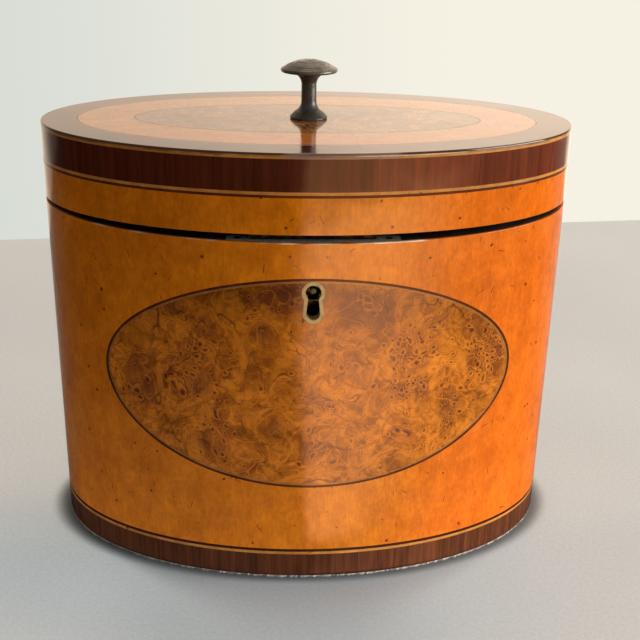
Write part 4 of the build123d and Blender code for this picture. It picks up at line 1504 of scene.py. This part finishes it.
def stage_sheet(name, size, stand):
    """A flat sheet of the stage, turned and put in its place, with its material."""
    start_clean()
    bpy.ops.mesh.primitive_plane_add(size=size, location=(0, 0, 0))
    sheet = name_new(name)
    sheet.matrix_world = stand
    bpy.ops.object.transform_apply(location=True, rotation=True, scale=True)
    sheet.data.materials.append(MATERIALS[name])
    return sheet


def show(shader, surface):
    """Gives a material its surface."""
    feed(shader.id_data.nodes["Material Output"], {"Surface": surface})


def floor_material(stage):
    """A pale painted floor, cooler near the caddy, with a painted contact shadow where the caddy
    meets it and painted shade in a strip through its middle.

    Away from the caddy the camera sees it more evenly lit than the lamps light it.
    """
    shader, vector = start_material("floor")
    grain = vector.clouds(900.0, detail=3.0, roughness=0.7).step(0.3, 0.7, 0.94, 1.05)
    tone = grain * vector.clouds(9.0).step(0.3, 0.7, 0.97, 1.03)
    sizes = bpy.context.scene.caddy
    across, back, _ = vector.parts()
    round_oval = vector.placed((sizes.half_depth / sizes.half_width, 1.0, 1.0))
    away = round_oval.vector("LENGTH", output="Value") - sizes.half_depth
    # Painted contact shadow round the caddy's foot, and painted shade in a strip through the
    # caddy's middle, which shows in front of it
    contact = (away / across.step(*CONTACT_REACH)).step(*CONTACT_SHADE)
    tone = tone * (contact * abs(across - SHADOW_MIDDLE).step(*FRONT_SHADE))
    coolness = away.step(*COOL_AWAY) * back.step(*COOL_FRONT) * across.step(*COOL_RIGHT)
    base = blend(coolness, stage.floor_colour, stage.floor_cool)
    feed(shader, {"Base Color": base.shaded(tone), "Roughness": FLOOR_ROUGH})
    even = blend(coolness, stage.floor_shown, stage.floor_shown_cool).shaded(tone)
    plain = even.into("Emission", {"Strength": 1.0})
    spread = (away / abs(across).step(*EVEN_REACH)).step(*EVEN_SHARE)
    share = flows(put(vector.tree, "LightPath"))["Is Camera Ray"] * spread
    show(shader, share.into("MixShader", {1: Flow(shader.outputs[0]), 2: plain}))


def wall_material(stage):
    """A pale plain wall, open from behind so that the caddy is seen from its back. In the polish it
    glows like a window, brighter towards the right: a painted reflection.
    """
    shader, place = start_material("wall")
    feed(shader, {"Base Color": stage.wall_colour, "Roughness": WALL_ROUGH})
    ray = flows(put(place.tree, "LightPath"))
    back = flows(put(place.tree, "NewGeometry"))["Backfacing"]
    along = place.parts()[0]
    ends = along.step(*MIRROR_LEFT) * along.step(*MIRROR_RIGHT)
    # Painted reflection: for glossy rays the wall glows as a window, brighter towards the right
    strength = ray["Is Glossy Ray"].choose(1.0, along.step(*WINDOW) * ends)
    tint = blend(along.step(*WALL_WARMTH), stage.wall_cool, stage.wall_shown)
    tint = tint.under(stage.wall_mirrored, ray["Is Glossy Ray"])
    plain = tint.into("Emission", {"Strength": strength})
    seen = ray["Is Camera Ray"].most(ray["Is Glossy Ray"])
    front = seen.into("MixShader", {1: Flow(shader.outputs[0]), 2: plain})
    clear = Flow(put(place.tree, "BsdfTransparent").outputs[0])
    show(shader, back.into("MixShader", {1: front, 2: clear}))


def card_material():
    """The glowing card that lies round the caddy, unseen by the camera: orange to the right of the
    camera, black to its left.

    Polish mirrors it as a painted warm reflection, and the near white light that it throws also
    reaches what is not polished, as painted bounce light.
    """
    shader, place = start_material("gloss_card")
    across, back, _ = place.parts()
    ahead, aside = CARD_EYE[1] - back, across - CARD_EYE[0]
    turn = aside.calc("ARCTAN2", ahead)
    near = ahead.step(*CARD_NEAR) * ahead.step(*CARD_FAR) * ahead.step(*CARD_FOOT)
    gloss = turn.step(*CARD_EDGE) * near * CARD_GLOW
    bounce = place.vector("LENGTH", output="Value").step(*BOUNCE) + turn.step(*SIDE_BOUNCE)
    thrown = flows(put(place.tree, "LightPath"))["Is Diffuse Ray"]
    tint = blend(thrown, CARD_COLOUR, BOUNCE_COLOUR)
    glow = tint.into("Emission", {"Strength": thrown.choose(gloss * turn.step(*CARD_END), bounce)})
    clear = Flow(put(place.tree, "BsdfTransparent").outputs[0])
    under = flows(put(place.tree, "NewGeometry"))["Backfacing"]
    open_share = under.most(abs(turn).step(*CARD_BACK))
    show(shader, open_share.into("MixShader", {1: glow, 2: clear}))


def soft_light(name, place, size, power, tint):
    """A large soft lamp that is aimed at the caddy."""
    bpy.ops.object.light_add(type="AREA", location=place)
    lamp = bpy.context.object
    lamp.name = name
    lamp.data.shape = "RECTANGLE"
    lamp.data.size, lamp.data.size_y = size
    lamp.data.energy = power
    lamp.data.color = tint
    lamp.rotation_euler = (LIGHT_AIM - lamp.location).to_track_quat("-Z", "Y").to_euler()
    return lamp


class TEACADDY_OT_stage(bpy.types.Operator):
    """Sets the floor, the wall, the lights and the camera"""

    bl_idname = "teacaddy.stage"
    bl_label = "Stage"

    def execute(self, context):
        scene, stage = context.scene, context.scene.stage
        floor_material(stage)
        wall_material(stage)
        card_material()
        upright = Matrix.Rotation(WALL_TURN, 4, "Z") @ Matrix.Rotation(pi / 2, 4, "X")
        floor = stage_sheet("floor", STAGE_SIZE, Matrix.Identity(4))
        wall = stage_sheet("wall", STAGE_SIZE, Matrix.Translation(WALL_PLACE) @ upright)
        card = stage_sheet("gloss_card", CARD_SIZE, Matrix.Translation(CARD_PLACE))
        card.visible_camera = card.visible_shadow = False

        soft_light("window_light", KEY_PLACE, KEY_SIZE, KEY_POWER, KEY_COLOUR)
        back = soft_light("back_light", BACK_PLACE, BACK_SIZE, BACK_POWER, BACK_COLOUR)
        back.visible_glossy = False

        scene.world = bpy.data.worlds.new("studio")
        scene.world.use_nodes = True
        backdrop = scene.world.node_tree.nodes["Background"]
        feed(backdrop, {"Color": WORLD_COLOUR, "Strength": WORLD_STRENGTH})

        bpy.ops.object.camera_add(location=stage.camera_place)
        camera = bpy.context.object
        camera.name = "camera"
        camera.data.lens = stage.lens
        camera.data.sensor_width = SENSOR
        camera.data.sensor_fit = "HORIZONTAL"
        camera.data.clip_start = NEAREST
        turned = pointing(stage.yaw, stage.pitch, stage.roll)
        camera.matrix_world = Matrix.Translation(stage.camera_place) @ turned
        scene.camera = camera
        scene.view_settings.view_transform = "Standard"
        return {"FINISHED"}


SENSOR = 36.0
NEAREST = 0.01
STAGE_SIZE = 6.0
FLOOR_ROUGH = 0.75
WALL_ROUGH = 0.9
WALL_PLACE = Vector((0.0, 0.2753, 0.0))
WALL_TURN = radians(6.2)
SHADOW_MIDDLE = -0.012
CARD_SIZE = 1.6
CARD_PLACE = Vector((0.0, 0.0, 0.0015))
CARD_EYE = (0.0, -0.046)
# The card's orange glow in the polish: a painted warm sheen on the woods
CARD_COLOUR = (1.0, 0.46, 0.19)
CARD_GLOW = 6.2
BOUNCE_COLOUR = (1.0, 0.97, 0.94)

# Soft steps: where each starts and ends, and its value before and after
WINDOW = (-0.12, 0.14, 1.25, 2.15)
MIRROR_LEFT = (-0.50, -0.20, 0.2, 1.0)
MIRROR_RIGHT = (0.20, 0.50, 1.0, 0.2)
WALL_WARMTH = (-0.22, 0.12)
EVEN_REACH = (0.0, 0.06, 0.035, 0.0045)
EVEN_SHARE = (0.0, 1.0, 0.0, 0.66)
CONTACT_REACH = (-0.06, 0.0, 0.0038, 0.0036)
CONTACT_SHADE = (0.0, 1.0, 0.30, 1.0)
FRONT_SHADE = (0.020, 0.055, 0.86, 1.0)
COOL_AWAY = (0.02, 0.07, 1.0, 0.0)
COOL_FRONT = (0.01, -0.04)
COOL_RIGHT = (0.0, 0.09, 1.0, 0.35)
CARD_EDGE = (radians(-1.5), 0.0)
CARD_END = (radians(20), radians(64), 1.0, 0.03)
CARD_FOOT = (0.0135, 0.02)
CARD_NEAR = (0.02, 0.16, 0.75, 1.0)
CARD_FAR = (0.33, 0.44, 1.0, 0.3)
CARD_BACK = (radians(92), radians(168))
BOUNCE = (0.09, 0.22, 1.1, 0.06)
SIDE_BOUNCE = (radians(14), radians(55), 0.0, 1.45)

# Lamps and world
LIGHT_AIM = Vector((0.0, 0.0, 0.06))
KEY_PLACE = Vector((1.130, -0.320, 0.31))
KEY_SIZE = (0.9, 0.7)
KEY_POWER = 22.0
KEY_COLOUR = (1.0, 0.96, 0.92)
BACK_PLACE = Vector((0.145, 0.823, 1.05))
BACK_SIZE = (0.7, 0.7)
BACK_POWER = 32.0
BACK_COLOUR = (1.0, 0.98, 0.95)
WORLD_COLOUR = (1.0, 0.98, 0.96)
WORLD_STRENGTH = 0.34


class TEACADDY_PT_panel(bpy.types.Panel):
    """Lists the steps of the caddy's making"""

    bl_idname = "TEACADDY_PT_panel"
    bl_label = "Oval Tea Caddy"
    bl_space_type = "VIEW_3D"
    bl_region_type = "UI"
    bl_category = "Tea Caddy"

    def draw(self, context):
        layout = self.layout
        for step in STEPS:
            layout.operator(step.bl_idname)
        for name in SETTINGS:
            group = getattr(context.scene, name)
            box = layout.box()
            box.label(text=SETTINGS[name].__doc__)
            for setting in SETTINGS[name].__annotations__:
                box.prop(group, setting)


STEPS = (
    TEACADDY_OT_materials,
    TEACADDY_OT_body_bands,
    TEACADDY_OT_front_oval,
    TEACADDY_OT_escutcheon,
    TEACADDY_OT_baize,
    TEACADDY_OT_body_inside,
    TEACADDY_OT_lid_side,
    TEACADDY_OT_lid_top,
    TEACADDY_OT_lid_inside,
    TEACADDY_OT_knob,
    TEACADDY_OT_inner_lid,
    TEACADDY_OT_hardware,
    TEACADDY_OT_stage,
)
SETTINGS = {
    "caddy": CaddySizes,
    "lid": LidSizes,
    "turned": TurnedSizes,
    "woods": WoodColours,
    "stage": StageSettings,
}


def register():
    """Registers the settings, the steps and the panel."""
    for name, group in SETTINGS.items():
        bpy.utils.register_class(group)
        setattr(bpy.types.Scene, name, bpy.props.PointerProperty(type=group))
    for step in STEPS:
        bpy.utils.register_class(step)
    bpy.utils.register_class(TEACADDY_PT_panel)


def unregister():
    """Takes the settings, the steps and the panel away again."""
    bpy.utils.unregister_class(TEACADDY_PT_panel)
    for step in reversed(STEPS):
        bpy.utils.unregister_class(step)
    for name, group in SETTINGS.items():
        delattr(bpy.types.Scene, name)
        bpy.utils.unregister_class(group)


def main():
    """Builds the caddy step by step."""
    register()
    for step in STEPS:
        family, name = step.bl_idname.split(".")
        getattr(getattr(bpy.ops, family), name)()


if __name__ == "__main__":
    main()
